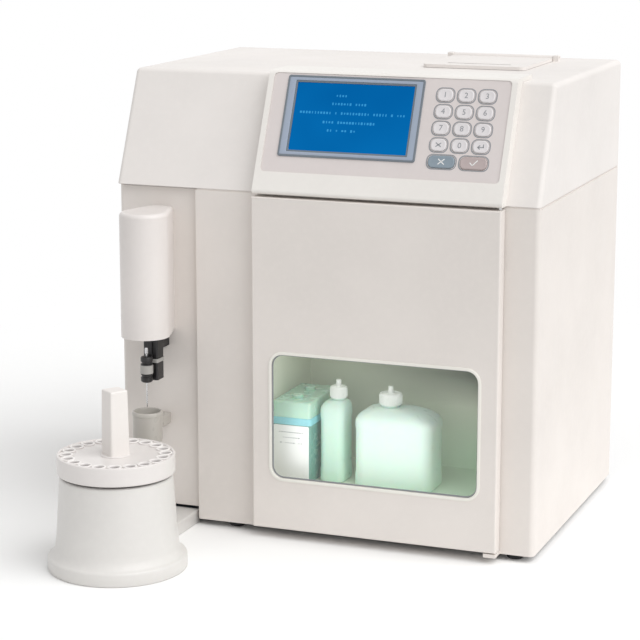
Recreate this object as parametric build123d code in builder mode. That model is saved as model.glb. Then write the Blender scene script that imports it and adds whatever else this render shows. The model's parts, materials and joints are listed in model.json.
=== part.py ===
"""A bench electrolyte analyzer: console on a lower housing, reagent door, and a sample carousel in front.

Millimetres. X runs to the right, Y to the back, Z up. The origin lies on the table, under the middle
of the whole object's box.
"""

import os
from math import atan2, cos, degrees, radians, sin, sqrt

from build123d import *

os.makedirs("parts", exist_ok=True)

# Body
BODY_W = 400.0
FRONT_Y = -45.0
BACK_Y = 240.0
FOOT_H = 6.0
SEAM_Z = 316.0
CONSOLE_H = 102.0
WALL = 3.0
CORNER_R = 5.0
SLOPE_RUN = 45.0
PROUD = 15.0
SEAM_GROOVE = 1.2

# Clearances
SLIDE_GAP = 0.2
RUN_GAP = 0.05
SEAT_GAP = 0.1
PART_GAP = 0.5

# Bay for the sampler, at the left of the front
BAY_W = 79.0
BAY_DEPTH = 6.0

# Reagent door and its window
DOOR_IN_L = 139.5
DOOR_IN_R = 30.5
DOOR_BOTTOM = 10.0
DOOR_GAP = 2.0
DOOR_WALL = 3.0
HINGE_IN = 3.0
HINGE_BACK = 8.0
PIN_R = 1.5
WINDOW_L = -42.0
WINDOW_R = 152.0
WINDOW_BOTTOM = 58.0
WINDOW_TOP = 173.0
WINDOW_R_CORNER = 11.0
PANE_T = 2.0
PANE_LAP = 5.0

# Compartment behind the door
SHELF_Z = 47.0
PARTITION_Z = 186.0
LINER_T = 2.5
LOWER_DEPTH = 112.0
UPPER_DEPTH = 38.0

# Display module on the slope
HOOD_BACK = 30.0
HOOD_RISE = 4.0
LCD_U = 22.5
LCD_V = 68.5
LCD_W = 110.0
LCD_H = 63.0
OVERLAY_DEPTH = 1.2
LIP_V = 16.0
OVERLAY_TOP_V = 108.0
KEY_W = 14.0
KEY_H = 11.0
WIDE_KEY_W = 24.0
KEY_PITCH_U = 19.0
KEY_PITCH_V = 15.0
KEY_U = 125.0
KEY_V = 33.0
KEY_TRAVEL = 1.0
KEY_PROUD = 1.5

# Sampler
SAMPLER_IN = 43.0
HOOD_R = 22.0
HOOD_ROOT = 22.0
HOOD_NOSE_Y = -78.0
HOOD_BOTTOM = 184.0
HOOD_TOP = 298.0
NEEDLE_Y = -77.0
NEEDLE_R = 0.8
NEEDLE_TIP_Z = 117.0
NEEDLE_TRAVEL = 26.0
CUP_R = 13.5
CUP_BOTTOM = 84.0
CUP_TOP = 114.0

# Sample carousel
CAROUSEL_Y = -179.0
PLINTH_R = 61.0
PLINTH_H = 13.0
DRUM_R_TOP = 49.5
DRUM_R_BOTTOM = 53.5
DRUM_TOP = 84.0
TRAY_R = 51.5
TRAY_TOP = 101.0
TRAY_SKIRT = 15.0
TRAY_T = 3.0
POCKETS = 20
POCKET_RING_R = 43.0
POCKET_R = 5.6
SPINDLE_R = 4.0
POST_W = 19.0
POST_TOP = 159.0
POST_TURN = -35.0

# Printer in the top
PRINTER_X = 95.0
PRINTER_Y = 145.0
PRINTER_HOLE = 82.0
PRINTER_DEPTH = 64.0
ROLL_R = 24.0
ROLL_W = 57.0
PLATEN_R = 6.0

# Rear
REAR_INSET = 3.0
REAR_T = 2.0
FAN_X = 100.0
FAN_Z = 200.0
FAN_SIZE = 80.0
FAN_DEPTH = 25.0
INLET_Z = 60.0
MODULE_L = -150.0
MODULE_R = -106.0
SERIAL_X = -20.0
SERIAL_Z = 32.0

HALF_W = BODY_W / 2
TOP_Z = SEAM_Z + CONSOLE_H
BAY_R = -HALF_W + BAY_W
DOOR_L = -HALF_W + DOOR_IN_L
DOOR_R = HALF_W - DOOR_IN_R
SAMPLER_X = -HALF_W + SAMPLER_IN
CAROUSEL_X = -HALF_W + PLINTH_R
BASE_Z = FOOT_H + PART_GAP
BASE_T = 2.0
FLOOR_Z = BASE_Z + BASE_T
LEAN = atan2(SLOPE_RUN, TOP_Z - SEAM_Z)
BAY_Y = FRONT_Y + BAY_DEPTH
DOOR_FRONT = FRONT_Y - PROUD
DOOR_BACK = FRONT_Y - PART_GAP
DOOR_TOP = SEAM_Z - DOOR_GAP
DOOR_X = (DOOR_L + DOOR_R) / 2
DOOR_W = DOOR_R - DOOR_L
HINGE_X = DOOR_R - HINGE_IN
HINGE_Y = DOOR_FRONT + HINGE_BACK
REAR_PANEL_Y = BACK_Y - REAR_INSET - REAR_T

# The pocket that the needle reaches, seen from the carousel's centre, and the arm's travel to it
POCKET_DX = SAMPLER_X - CAROUSEL_X
POCKET_DY = sqrt(POCKET_RING_R**2 - POCKET_DX**2)
POCKET_PHASE = degrees(atan2(POCKET_DY, POCKET_DX))
ARM_TRAVEL = NEEDLE_Y - CAROUSEL_Y - POCKET_DY

# The slope's own plane: its X runs along the console, its Y up the slope, its Z out of it
SLOPE = Plane(origin=(0, FRONT_Y, SEAM_Z), x_dir=(1, 0, 0), z_dir=(0, -cos(LEAN), sin(LEAN)))
PANEL_OUT = PROUD * cos(LEAN)
OVERLAY_OUT = PANEL_OUT - OVERLAY_DEPTH
PANEL_BACK = PANEL_OUT - WALL


def save(piece, label):
    """Names a finished piece and writes it to its own file."""
    piece.label = label
    export_step(piece, f"parts/{label}.step")


def box_between(low, high, mode=Mode.ADD):
    """A box from its lowest corner to its highest."""
    middle = tuple((a + b) / 2 for a, b in zip(low, high))
    size = [b - a for a, b in zip(low, high)]
    with Locations(middle):
        Box(*size, mode=mode)


def rod(start, length, radius, axis="Z", mode=Mode.ADD):
    """A round bar from its start point along an axis of the part."""
    turn = {"X": (0, 90, 0), "Y": (-90, 0, 0), "Z": (0, 0, 0)}[axis]
    align = (Align.CENTER, Align.CENTER, Align.MIN)
    with Locations(Location(start, turn)):
        Cylinder(radius, length, align=align, mode=mode)


def housing_outline(inset, back):
    """The corners of the lower body's plan, drawn in by the given amount."""
    return (
        (-HALF_W + inset, BAY_Y + inset),
        (BAY_R + inset, BAY_Y + inset),
        (BAY_R + inset, FRONT_Y + inset),
        (HALF_W - inset, FRONT_Y + inset),
        (HALF_W - inset, back - inset),
        (-HALF_W + inset, back - inset),
    )


# Rubber feet under the base plate; the sampler base carries the front left corner
FOOT_R = 8.0
FOOT_IN = 20.0
FOOT_FRONT = FRONT_Y + 14.0
FOOT_BACK = BACK_Y - 22.0
FOOT_PLACES = (
    (BAY_R + 33.0, FOOT_FRONT),
    (HALF_W - FOOT_IN, FOOT_FRONT),
    (-HALF_W + FOOT_IN, FOOT_BACK),
    (HALF_W - FOOT_IN, FOOT_BACK),
)
with BuildPart() as feet:
    with BuildSketch():
        with Locations(*FOOT_PLACES):
            Circle(FOOT_R)
    extrude(amount=BASE_Z)
    chamfer(feet.edges().group_by(Axis.Z)[0], length=1.5)
save(feet.part, "feet")

# Steel base plate inside the housing's lower rim, with three groups of vent slots
RIM_IN = WALL + PART_GAP
BASE_VENTS = ((40.0, 20.0), (100.0, 20.0), (-100.0, 140.0))
SLOT_W = 4.0
SLOT_PITCH = 9.0
with BuildPart() as base_plate:
    with BuildSketch(Plane.XY.offset(BASE_Z)):
        with BuildLine():
            Polyline(*housing_outline(RIM_IN, REAR_PANEL_Y - PART_GAP + RIM_IN), close=True)
        make_face()
    extrude(amount=BASE_T)
    with Locations(*[(x, y, FLOOR_Z) for x, y in BASE_VENTS]):
        with GridLocations(SLOT_PITCH, 0, 5, 1):
            Box(SLOT_W, 34, 3 * BASE_T, mode=Mode.SUBTRACT)
save(base_plate.part, "base_plate")

# Lower housing: a moulded shell with the sampler bay, the door opening and the bottom hinge ear
SCREW_R = 1.5
BOSS_W = 9.0
BOSS_DEPTH = 14.0
REAR_SCREWS = [(side * (HALF_W - WALL - BOSS_W / 2), z) for side in (-1, 1) for z in (34.0, 160.0, 290.0)]
ARM_W = 10.0
ARM_H = 8.0
ARM_Z = 168.0
EAR_T = 3.2
OPEN_L = DOOR_L + 8.0
OPEN_R = DOOR_R - 8.0
OPEN_BOTTOM = SHELF_Z + 1.0
OPEN_TOP = DOOR_TOP - 8.0
LEDGE_Z = PLINTH_H + 3.0
REAR_OPEN_Y = 100.0
GUIDE_L = 20.0
GUIDE_T = 6.0
EAR_W = 8.0
with BuildPart() as lower_housing:
    with BuildSketch(Plane.XY.offset(FOOT_H)):
        with BuildLine():
            Polyline(*housing_outline(0, BACK_Y), close=True)
        make_face()
    extrude(amount=SEAM_Z - SEAM_GROOVE - FOOT_H)
    upright = lower_housing.edges().filter_by(Axis.Z)
    corners = [e for e in upright if abs(e.center().X) > HALF_W - 1]
    fillet(corners, radius=CORNER_R)
    with BuildSketch(Plane.XY.offset(SEAM_Z - SEAM_GROOVE)):
        with BuildLine():
            Polyline(*housing_outline(1.0, BACK_Y), close=True)
        make_face()
    extrude(amount=SEAM_GROOVE)
    with BuildSketch(Plane.XY.offset(FOOT_H)):
        with BuildLine():
            Polyline(*housing_outline(WALL, BACK_Y), close=True)
        make_face()
    extrude(amount=SEAM_Z, mode=Mode.SUBTRACT)
    box_between((-HALF_W + WALL, REAR_OPEN_Y, 0), (HALF_W - WALL, BACK_Y + 1, SEAM_Z + 1), Mode.SUBTRACT)
    box_between((OPEN_L, FRONT_Y - 1, OPEN_BOTTOM), (OPEN_R, FRONT_Y + WALL + 1, OPEN_TOP), Mode.SUBTRACT)
    # The bay's foot stops above the carousel's neck
    box_between((-HALF_W - 1, BAY_Y - 1, 0), (BAY_R - WALL, BAY_Y + WALL + 1, LEDGE_Z), Mode.SUBTRACT)
    # Inner guide for the arm
    box_between(
        (SAMPLER_X - ARM_W, BAY_Y + WALL, ARM_Z - GUIDE_T),
        (SAMPLER_X + ARM_W, BAY_Y + WALL + GUIDE_L, ARM_Z + ARM_H + GUIDE_T),
    )
    # Slot for the probe arm
    box_between(
        (SAMPLER_X - ARM_W / 2 - SLIDE_GAP, BAY_Y - 1, ARM_Z - SLIDE_GAP),
        (SAMPLER_X + ARM_W / 2 + SLIDE_GAP, BAY_Y + WALL + GUIDE_L + 1, ARM_Z + ARM_H + SLIDE_GAP),
        Mode.SUBTRACT,
    )
    # Screw bosses for the rear panel
    for x, z in REAR_SCREWS:
        box_between(
            (x - BOSS_W / 2, REAR_PANEL_Y - BOSS_DEPTH, z - BOSS_W / 2),
            (x + BOSS_W / 2, REAR_PANEL_Y, z + BOSS_W / 2),
        )
        rod((x, REAR_PANEL_Y - BOSS_DEPTH + 2, z), BOSS_DEPTH, SCREW_R + RUN_GAP, "Y", Mode.SUBTRACT)
    # Ear under the door with the lower hinge pin's seat
    box_between(
        (HINGE_X - EAR_W, DOOR_FRONT, FOOT_H),
        (DOOR_R, FRONT_Y, FOOT_H + EAR_T),
    )
    rod((HINGE_X, HINGE_Y, FOOT_H - 1), 10, PIN_R + RUN_GAP, "Z", Mode.SUBTRACT)
save(lower_housing.part, "lower_housing")

# Rear panel with fan grille, inlet, serial and vent openings
INLET_H = 24.0
MODULE_W = MODULE_R - MODULE_L
MODULE_X = (MODULE_L + MODULE_R) / 2
SERIAL_W, SERIAL_H = 31.0, 12.5
REAR_VENT = (-110.0, 250.0)
REAR_VENT_H = 50.0
GRILLE_HOLE_R = 3.2
with BuildPart() as rear_panel:
    box_between(
        (-HALF_W + WALL + SLIDE_GAP, REAR_PANEL_Y, FOOT_H + PART_GAP),
        (HALF_W - WALL - SLIDE_GAP, REAR_PANEL_Y + REAR_T, SEAM_Z - PART_GAP),
    )
    with Locations(Location((FAN_X, REAR_PANEL_Y + REAR_T / 2, FAN_Z), (90, 0, 0))):
        for ring_r, count in ((10.0, 6), (20.0, 12), (30.0, 18)):
            with PolarLocations(ring_r, count):
                Cylinder(GRILLE_HOLE_R, 3 * REAR_T, mode=Mode.SUBTRACT)
    for x, z, w, h in (
        (MODULE_X, INLET_Z, MODULE_W, INLET_H),
        (SERIAL_X, SERIAL_Z, SERIAL_W, SERIAL_H),
    ):
        with Locations((x, REAR_PANEL_Y, z)):
            Box(w + 2 * SLIDE_GAP, 3 * REAR_T, h + 2 * SLIDE_GAP, mode=Mode.SUBTRACT)
    with Locations((REAR_VENT[0], REAR_PANEL_Y + REAR_T / 2, REAR_VENT[1])):
        with GridLocations(SLOT_PITCH + 1, 1, 12, 1):
            Box(SLOT_W, 3 * REAR_T, REAR_VENT_H, mode=Mode.SUBTRACT)
    for x, z in REAR_SCREWS:
        rod((x, REAR_PANEL_Y - 1, z), REAR_T + 2, SCREW_R + RUN_GAP, "Y", Mode.SUBTRACT)
save(rear_panel.part, "rear_panel")

SCREW_L = 8.0
SCREW_HEAD_H = 2.0
with BuildPart() as screws:
    for x, z in REAR_SCREWS:
        rod((x, REAR_PANEL_Y + REAR_T - SCREW_L, z), SCREW_L, SCREW_R, "Y")
        rod((x, REAR_PANEL_Y + REAR_T, z), SCREW_HEAD_H, 2 * SCREW_R, "Y")
save(screws.part, "screws")

# Top cover: the console shell with its sloped front, the printer hole and the lid's hinge ears
LID_LAP = 8.0
LID_T = 3.0
LID_GAP = 0.3
LID_BARREL_R = 2.7
LID_PIN_R = 1.2
LID_HALF = PRINTER_HOLE / 2 + LID_LAP
LID_HINGE_Y = PRINTER_Y + LID_HALF + 2.0
LID_HINGE_Z = TOP_Z + LID_GAP + LID_BARREL_R
LID_EAR_L = 6.0
LID_EAR_HALF = 3.5
COVER_LEDGE = 6.0
PANEL_CAVITY = (DOOR_L + WALL, HINGE_X - 5.5, 6.0, 104.0)
with BuildPart() as top_cover:
    with BuildSketch(Plane.YZ.offset(-HALF_W)):
        with BuildLine():
            Polyline(
                (FRONT_Y, SEAM_Z),
                (FRONT_Y + SLOPE_RUN, TOP_Z),
                (BACK_Y, TOP_Z),
                (BACK_Y, SEAM_Z),
                close=True,
            )
        make_face()
    extrude(amount=BODY_W)
    fillet([e for e in top_cover.edges() if e.center().Z > SEAM_Z + 1], radius=CORNER_R)
    run_in = WALL / cos(LEAN)
    with BuildSketch(Plane.YZ.offset(-HALF_W + WALL)):
        with BuildLine():
            Polyline(
                (FRONT_Y + run_in, SEAM_Z),
                (FRONT_Y + run_in + (TOP_Z - WALL - SEAM_Z) * SLOPE_RUN / (TOP_Z - SEAM_Z), TOP_Z - WALL),
                (BACK_Y - WALL, TOP_Z - WALL),
                (BACK_Y - WALL, SEAM_Z),
                close=True,
            )
        make_face()
    extrude(amount=BODY_W - 2 * WALL, mode=Mode.SUBTRACT)
    u0, u1, v0, v1 = PANEL_CAVITY
    with BuildSketch(SLOPE):
        with Locations(((u0 + u1) / 2, (v0 + v1) / 2)):
            Rectangle(u1 - u0 - 2 * COVER_LEDGE, v1 - v0 - 2 * COVER_LEDGE)
    extrude(amount=-3 * WALL, mode=Mode.SUBTRACT)
    with Locations((PRINTER_X, PRINTER_Y, TOP_Z)):
        Box(PRINTER_HOLE, PRINTER_HOLE, 3 * WALL, mode=Mode.SUBTRACT)
    for side in (-1, 1):
        inner = LID_HALF + SLIDE_GAP
        x0, x1 = sorted((PRINTER_X + side * inner, PRINTER_X + side * (inner + LID_EAR_L)))
        box_between(
            (x0, LID_HINGE_Y - LID_EAR_HALF, TOP_Z - 1),
            (x1, LID_HINGE_Y + LID_EAR_HALF, LID_HINGE_Z + 3),
        )
        rod((x0 - 1, LID_HINGE_Y, LID_HINGE_Z), LID_EAR_L + 2, LID_PIN_R + RUN_GAP, "X", Mode.SUBTRACT)
save(top_cover.part, "top_cover")

# Printer lid over the paper bay, with its barrel and the slot that the paper leaves by
SLOT_Y = PRINTER_Y - 30.0
PAPER_SLOT = 4.0
with BuildPart() as printer_lid:
    box_between(
        (PRINTER_X - LID_HALF, PRINTER_Y - LID_HALF, TOP_Z + LID_GAP),
        (PRINTER_X + LID_HALF, LID_HINGE_Y, TOP_Z + LID_GAP + LID_T),
    )
    front = [e for e in printer_lid.edges().filter_by(Axis.Z) if e.center().Y < PRINTER_Y]
    fillet(front, radius=6)
    with Locations((PRINTER_X, SLOT_Y, TOP_Z + LID_T)):
        Box(ROLL_W + 4, PAPER_SLOT, 4 * LID_T, mode=Mode.SUBTRACT)
    rod((PRINTER_X - LID_HALF, LID_HINGE_Y, LID_HINGE_Z), 2 * LID_HALF, LID_BARREL_R, "X")
    pin_l = LID_HALF + LID_EAR_L - 1
    rod((PRINTER_X - pin_l, LID_HINGE_Y, LID_HINGE_Z), 2 * pin_l, LID_PIN_R, "X")
save(printer_lid.part, "printer_lid")

# Printer frame: a tub under the top with the thermal head's block
TUB_T = 2.5
TUB_TOP = TOP_Z - WALL
TUB_BOTTOM = TUB_TOP - PRINTER_DEPTH
TUB_HALF = PRINTER_HOLE / 2 + TUB_T
PLATEN_Y = SLOT_Y + 3.0
PLATEN_Z = TUB_TOP - 9.0
HEAD_HALF = 6.0
JOURNAL_R = 2.0
with BuildPart() as printer_frame:
    box_between(
        (PRINTER_X - TUB_HALF, PRINTER_Y - TUB_HALF, TUB_BOTTOM),
        (PRINTER_X + TUB_HALF, PRINTER_Y + TUB_HALF, TUB_TOP),
    )
    hole = PRINTER_HOLE / 2
    box_between(
        (PRINTER_X - hole, PRINTER_Y - hole, TUB_BOTTOM + TUB_T),
        (PRINTER_X + hole, PRINTER_Y + hole, TUB_TOP + 1),
        Mode.SUBTRACT,
    )
    box_between(
        (PRINTER_X - hole, PRINTER_Y - hole, PLATEN_Z - HEAD_HALF),
        (PRINTER_X + hole, PLATEN_Y - PLATEN_R - PART_GAP, PLATEN_Z + HEAD_HALF),
    )
    rod(
        (PRINTER_X - TUB_HALF - 1, PLATEN_Y, PLATEN_Z),
        2 * TUB_HALF + 2,
        JOURNAL_R + RUN_GAP,
        "X",
        Mode.SUBTRACT,
    )
save(printer_frame.part, "printer_frame")

with BuildPart() as platen_roller:
    rod((PRINTER_X - ROLL_W / 2 - 2, PLATEN_Y, PLATEN_Z), ROLL_W + 4, PLATEN_R, "X")
    rod((PRINTER_X - TUB_HALF, PLATEN_Y, PLATEN_Z), 2 * TUB_HALF, JOURNAL_R, "X")
save(platen_roller.part, "platen_roller")

ROLL_Y = PRINTER_Y + 12.0
ROLL_Z = TUB_BOTTOM + TUB_T + ROLL_R + 0.3
CORE_R = 6.0
with BuildPart() as paper_roll:
    rod((PRINTER_X - ROLL_W / 2, ROLL_Y, ROLL_Z), ROLL_W, ROLL_R, "X")
    rod((PRINTER_X - ROLL_W / 2 - 1, ROLL_Y, ROLL_Z), ROLL_W + 2, CORE_R, "X", Mode.SUBTRACT)
save(paper_roll.part, "paper_roll")

# Display module: a proud hood over the slope that carries the screen and the keypad
PANEL_FOOT = SEAM_Z + PART_GAP
PIN_SEAT = 6.0
KEY_CORNER = 4.5
SCREEN_LAP = 2.0
WIDE_KEY_PITCH = WIDE_KEY_W + 5.0
with BuildPart() as display_panel:
    foot_y = FRONT_Y + (PANEL_FOOT - SEAM_Z) * SLOPE_RUN / (TOP_Z - SEAM_Z)
    brow_y = FRONT_Y - PROUD + (TOP_Z + HOOD_RISE - SEAM_Z) * SLOPE_RUN / (TOP_Z - SEAM_Z)
    with BuildSketch(Plane.YZ.offset(DOOR_L)):
        with BuildLine():
            Polyline(
                (DOOR_FRONT, PANEL_FOOT),
                (foot_y - SEAT_GAP, PANEL_FOOT),
                (FRONT_Y + SLOPE_RUN - SEAT_GAP, TOP_Z + SEAT_GAP),
                (HOOD_BACK, TOP_Z + SEAT_GAP),
                (HOOD_BACK, TOP_Z + HOOD_RISE),
                (brow_y, TOP_Z + HOOD_RISE),
                close=True,
            )
        make_face()
    extrude(amount=DOOR_W)
    across = display_panel.edges().filter_by(Axis.X)
    fillet([e for e in across if e.center().Z > TOP_Z + 1 and e.center().Y < 0], radius=6)
    across = display_panel.edges().filter_by(Axis.X)
    fillet([e for e in across if e.center().Y < DOOR_FRONT + 0.1], radius=3)
    u0, u1, v0, v1 = PANEL_CAVITY
    with BuildSketch(SLOPE.offset(-1)):
        with Locations(((u0 + u1) / 2, (v0 + v1) / 2)):
            Rectangle(u1 - u0, v1 - v0)
    extrude(amount=1 + PANEL_BACK, mode=Mode.SUBTRACT)
    with BuildSketch(SLOPE.offset(OVERLAY_OUT)):
        with Locations((DOOR_X, (LIP_V + OVERLAY_TOP_V) / 2)):
            RectangleRounded(DOOR_W - 10, OVERLAY_TOP_V - LIP_V, 4)
    extrude(amount=2 * OVERLAY_DEPTH, mode=Mode.SUBTRACT)
    with BuildSketch(SLOPE):
        with Locations((LCD_U, LCD_V)):
            Rectangle(LCD_W + 2 * SCREEN_LAP, LCD_H + 2 * SCREEN_LAP)
        with Locations((KEY_U, KEY_V + 2.5 * KEY_PITCH_V)):
            with GridLocations(KEY_PITCH_U, KEY_PITCH_V, 3, 4):
                RectangleRounded(KEY_W + 2 * SLIDE_GAP, KEY_H + 2 * SLIDE_GAP, KEY_CORNER + SLIDE_GAP)
        with Locations((KEY_U, KEY_V)):
            with GridLocations(WIDE_KEY_PITCH, 1, 2, 1):
                RectangleRounded(WIDE_KEY_W + 2 * SLIDE_GAP, KEY_H + 2 * SLIDE_GAP, KEY_CORNER + SLIDE_GAP)
    extrude(amount=2 * PANEL_OUT, mode=Mode.SUBTRACT)
    rod((HINGE_X, HINGE_Y, PANEL_FOOT - 1), 1 + PIN_SEAT, PIN_R + RUN_GAP, "Z", Mode.SUBTRACT)
save(display_panel.part, "display_panel")

# Frame round the screen, with a lip that goes down into the panel's opening
BEZEL_W = LCD_W + 18
BEZEL_H = LCD_H + 12
BEZEL_T = 1.4
BEZEL_LIP = SCREEN_LAP - SEAT_GAP
with BuildPart() as lcd_bezel:
    with BuildSketch(SLOPE.offset(OVERLAY_OUT)):
        with Locations((LCD_U, LCD_V)):
            RectangleRounded(BEZEL_W, BEZEL_H, 2)
            Rectangle(LCD_W, LCD_H, mode=Mode.SUBTRACT)
    extrude(amount=BEZEL_T)
    with BuildSketch(SLOPE.offset(PANEL_BACK + SEAT_GAP)):
        with Locations((LCD_U, LCD_V)):
            Rectangle(LCD_W + 2 * BEZEL_LIP, LCD_H + 2 * BEZEL_LIP)
            Rectangle(LCD_W, LCD_H, mode=Mode.SUBTRACT)
    extrude(amount=OVERLAY_OUT - PANEL_BACK - SEAT_GAP)
save(lcd_bezel.part, "lcd_bezel")

# Screen module: its frame bears on the panel's back, its glass stands in the bezel
MODULE_OUT = 3.0
GLASS_T = 1.6
with BuildPart() as lcd_screen:
    with BuildSketch(SLOPE.offset(MODULE_OUT)):
        with Locations((LCD_U, LCD_V)):
            Rectangle(LCD_W + 10, LCD_H + 6)
    extrude(amount=PANEL_BACK - MODULE_OUT)
    with BuildSketch(SLOPE.offset(PANEL_BACK)):
        with Locations((LCD_U, LCD_V)):
            Rectangle(LCD_W - 2 * SLIDE_GAP, LCD_H - 2 * SLIDE_GAP)
    extrude(amount=GLASS_T)
save(lcd_screen.part, "lcd_screen")

# Keypad board on its own four posts
BOARD_T = 1.6
BOARD_W, BOARD_H = 70.0, 79.0
FLANGE_T = 1.0
FLANGE_LAP = 1.0
KEY_BACK = PANEL_BACK - SEAT_GAP - FLANGE_T
BOARD_TOP = KEY_BACK - KEY_TRAVEL - SLIDE_GAP
with BuildPart() as key_board:
    with BuildSketch(SLOPE.offset(BOARD_TOP - BOARD_T)):
        with Locations((KEY_U, KEY_V + 2 * KEY_PITCH_V)):
            Rectangle(BOARD_W, BOARD_H)
    extrude(amount=BOARD_T)
    with BuildSketch(SLOPE.offset(BOARD_TOP)):
        with Locations((KEY_U, KEY_V + 2 * KEY_PITCH_V)):
            with GridLocations(BOARD_W - 4, BOARD_H - 4, 2, 2):
                Circle(1.8)
    extrude(amount=PANEL_BACK - BOARD_TOP)
save(key_board.part, "key_board")

# Keys: a cap through the panel and a flange that holds it in
KEYPAD = (("key_1", "key_2", "key_3"), ("key_4", "key_5", "key_6"), ("key_7", "key_8", "key_9"))
KEYPAD += (("key_clear", "key_0", "key_enter"),)
KEY_PLACES = []
for row, names in enumerate(KEYPAD):
    for column, name in enumerate(names):
        place = (KEY_U + (column - 1) * KEY_PITCH_U, KEY_V + (4 - row) * KEY_PITCH_V)
        KEY_PLACES.append((name, place, KEY_W))
for side, name in ((-1, "key_no"), (1, "key_yes")):
    KEY_PLACES.append((name, (KEY_U + side * WIDE_KEY_PITCH / 2, KEY_V), WIDE_KEY_W))
for name, place, width in KEY_PLACES:
    with BuildPart() as key:
        with BuildSketch(SLOPE.offset(KEY_BACK)):
            with Locations(place):
                RectangleRounded(width + 2 * FLANGE_LAP, KEY_H + 2 * FLANGE_LAP, 3)
        extrude(amount=FLANGE_T)
        with BuildSketch(SLOPE.offset(KEY_BACK + FLANGE_T)):
            with Locations(place):
                RectangleRounded(width, KEY_H, KEY_CORNER)
        extrude(amount=OVERLAY_OUT + KEY_PROUD - KEY_BACK - FLANGE_T)
        fillet(key.edges().group_by(Axis((0, 0, 0), SLOPE.z_dir))[-1], radius=0.6)
    save(key.part, name)

# Door: a shallow hollow shell with the window and the hinge bosses on its right
BOSS_H = 14.0
with BuildPart() as front_door:
    box_between((DOOR_L, DOOR_FRONT, DOOR_BOTTOM), (DOOR_R, DOOR_BACK, DOOR_TOP))
    upright = front_door.edges().filter_by(Axis.Z)
    fillet([e for e in upright if e.center().X > 0 and e.center().Y > DOOR_FRONT + 1], radius=HINGE_IN)
    rim = front_door.faces().sort_by(Axis.Y)[0].edges()
    fillet(rim, radius=1.5)
    box_between(
        (DOOR_L + DOOR_WALL, DOOR_FRONT + DOOR_WALL, DOOR_BOTTOM + DOOR_WALL),
        (HINGE_X - 4, DOOR_BACK + 1, DOOR_TOP - DOOR_WALL),
        Mode.SUBTRACT,
    )
    box_between(
        (HINGE_X - 5, DOOR_FRONT + DOOR_WALL, DOOR_BOTTOM + BOSS_H),
        (DOOR_R - DOOR_WALL, DOOR_BACK + 1, DOOR_TOP - BOSS_H),
        Mode.SUBTRACT,
    )
    middle = ((WINDOW_L + WINDOW_R) / 2, (WINDOW_BOTTOM + WINDOW_TOP) / 2)
    with BuildSketch(Plane.XZ.offset(-DOOR_FRONT)):
        with Locations(middle):
            RectangleRounded(WINDOW_R - WINDOW_L, WINDOW_TOP - WINDOW_BOTTOM, WINDOW_R_CORNER)
    extrude(amount=-2 * DOOR_WALL, mode=Mode.SUBTRACT)
    rod((HINGE_X, HINGE_Y, DOOR_BOTTOM - 1), BOSS_H - 1, PIN_R + RUN_GAP, "Z", Mode.SUBTRACT)
    rod((HINGE_X, HINGE_Y, DOOR_TOP - BOSS_H + 2), BOSS_H, PIN_R + RUN_GAP, "Z", Mode.SUBTRACT)
save(front_door.part, "front_door")

with BuildPart() as door_window:
    with BuildSketch(Plane.XZ.offset(-DOOR_FRONT - DOOR_WALL)):
        with Locations(middle):
            RectangleRounded(
                WINDOW_R - WINDOW_L + 2 * PANE_LAP,
                WINDOW_TOP - WINDOW_BOTTOM + 2 * PANE_LAP,
                WINDOW_R_CORNER + 2,
            )
    extrude(amount=-PANE_T)
save(door_window.part, "door_window")

with BuildPart() as door_hinge_pins:
    rod((HINGE_X, HINGE_Y, FOOT_H + 0.3), DOOR_BOTTOM + BOSS_H - 4 - FOOT_H, PIN_R, "Z")
    rod((HINGE_X, HINGE_Y, DOOR_TOP - 10), 10 + PART_GAP + DOOR_GAP + PIN_SEAT - 1, PIN_R, "Z")
save(door_hinge_pins.part, "door_hinge_pins")

# Compartment liner: a bottle bay below and a shallower bay above for the sensors and the pump
LINER_L = DOOR_L + 4.5
LINER_R = DOOR_R - 4.5
LINER_FRONT = FRONT_Y + WALL
LOWER_BACK = LINER_FRONT + LOWER_DEPTH
UPPER_BACK = LINER_FRONT + UPPER_DEPTH
LINER_TOP = DOOR_TOP - 4.0
MOTOR_R = 14.0
PUMP_X = 115.0
PUMP_Z = 240.0
with BuildPart() as compartment_liner:
    with BuildSketch(Plane.YZ.offset(LINER_L)):
        with BuildLine():
            Polyline(
                (LINER_FRONT, SHELF_Z - LINER_T),
                (LOWER_BACK, SHELF_Z - LINER_T),
                (LOWER_BACK, PARTITION_Z),
                (UPPER_BACK, PARTITION_Z),
                (UPPER_BACK, LINER_TOP),
                (LINER_FRONT, LINER_TOP),
                close=True,
            )
        make_face()
    extrude(amount=LINER_R - LINER_L)
    box_between(
        (LINER_L + LINER_T, LINER_FRONT - 1, SHELF_Z),
        (LINER_R - LINER_T, LOWER_BACK - LINER_T, PARTITION_Z - LINER_T),
        Mode.SUBTRACT,
    )
    box_between(
        (LINER_L + LINER_T, LINER_FRONT - 1, PARTITION_Z),
        (LINER_R - LINER_T, UPPER_BACK - LINER_T, LINER_TOP - LINER_T),
        Mode.SUBTRACT,
    )
    rod((PUMP_X, UPPER_BACK - 5, PUMP_Z), 10, MOTOR_R + PART_GAP, "Y", Mode.SUBTRACT)
save(compartment_liner.part, "compartment_liner")

# Reagents on the shelf
PACK_H = 76.0
PACK_L = LINER_L + LINER_T + 1.0
with BuildPart() as reagent_pack:
    box_between((PACK_L, -32, SHELF_Z), (PACK_L + 37.5, 40, SHELF_Z + PACK_H))
    fillet(reagent_pack.edges().filter_by(Axis.Z), radius=3)
    fillet(reagent_pack.faces().sort_by(Axis.Z)[-1].edges(), radius=2)
save(reagent_pack.part, "reagent_pack")


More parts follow.
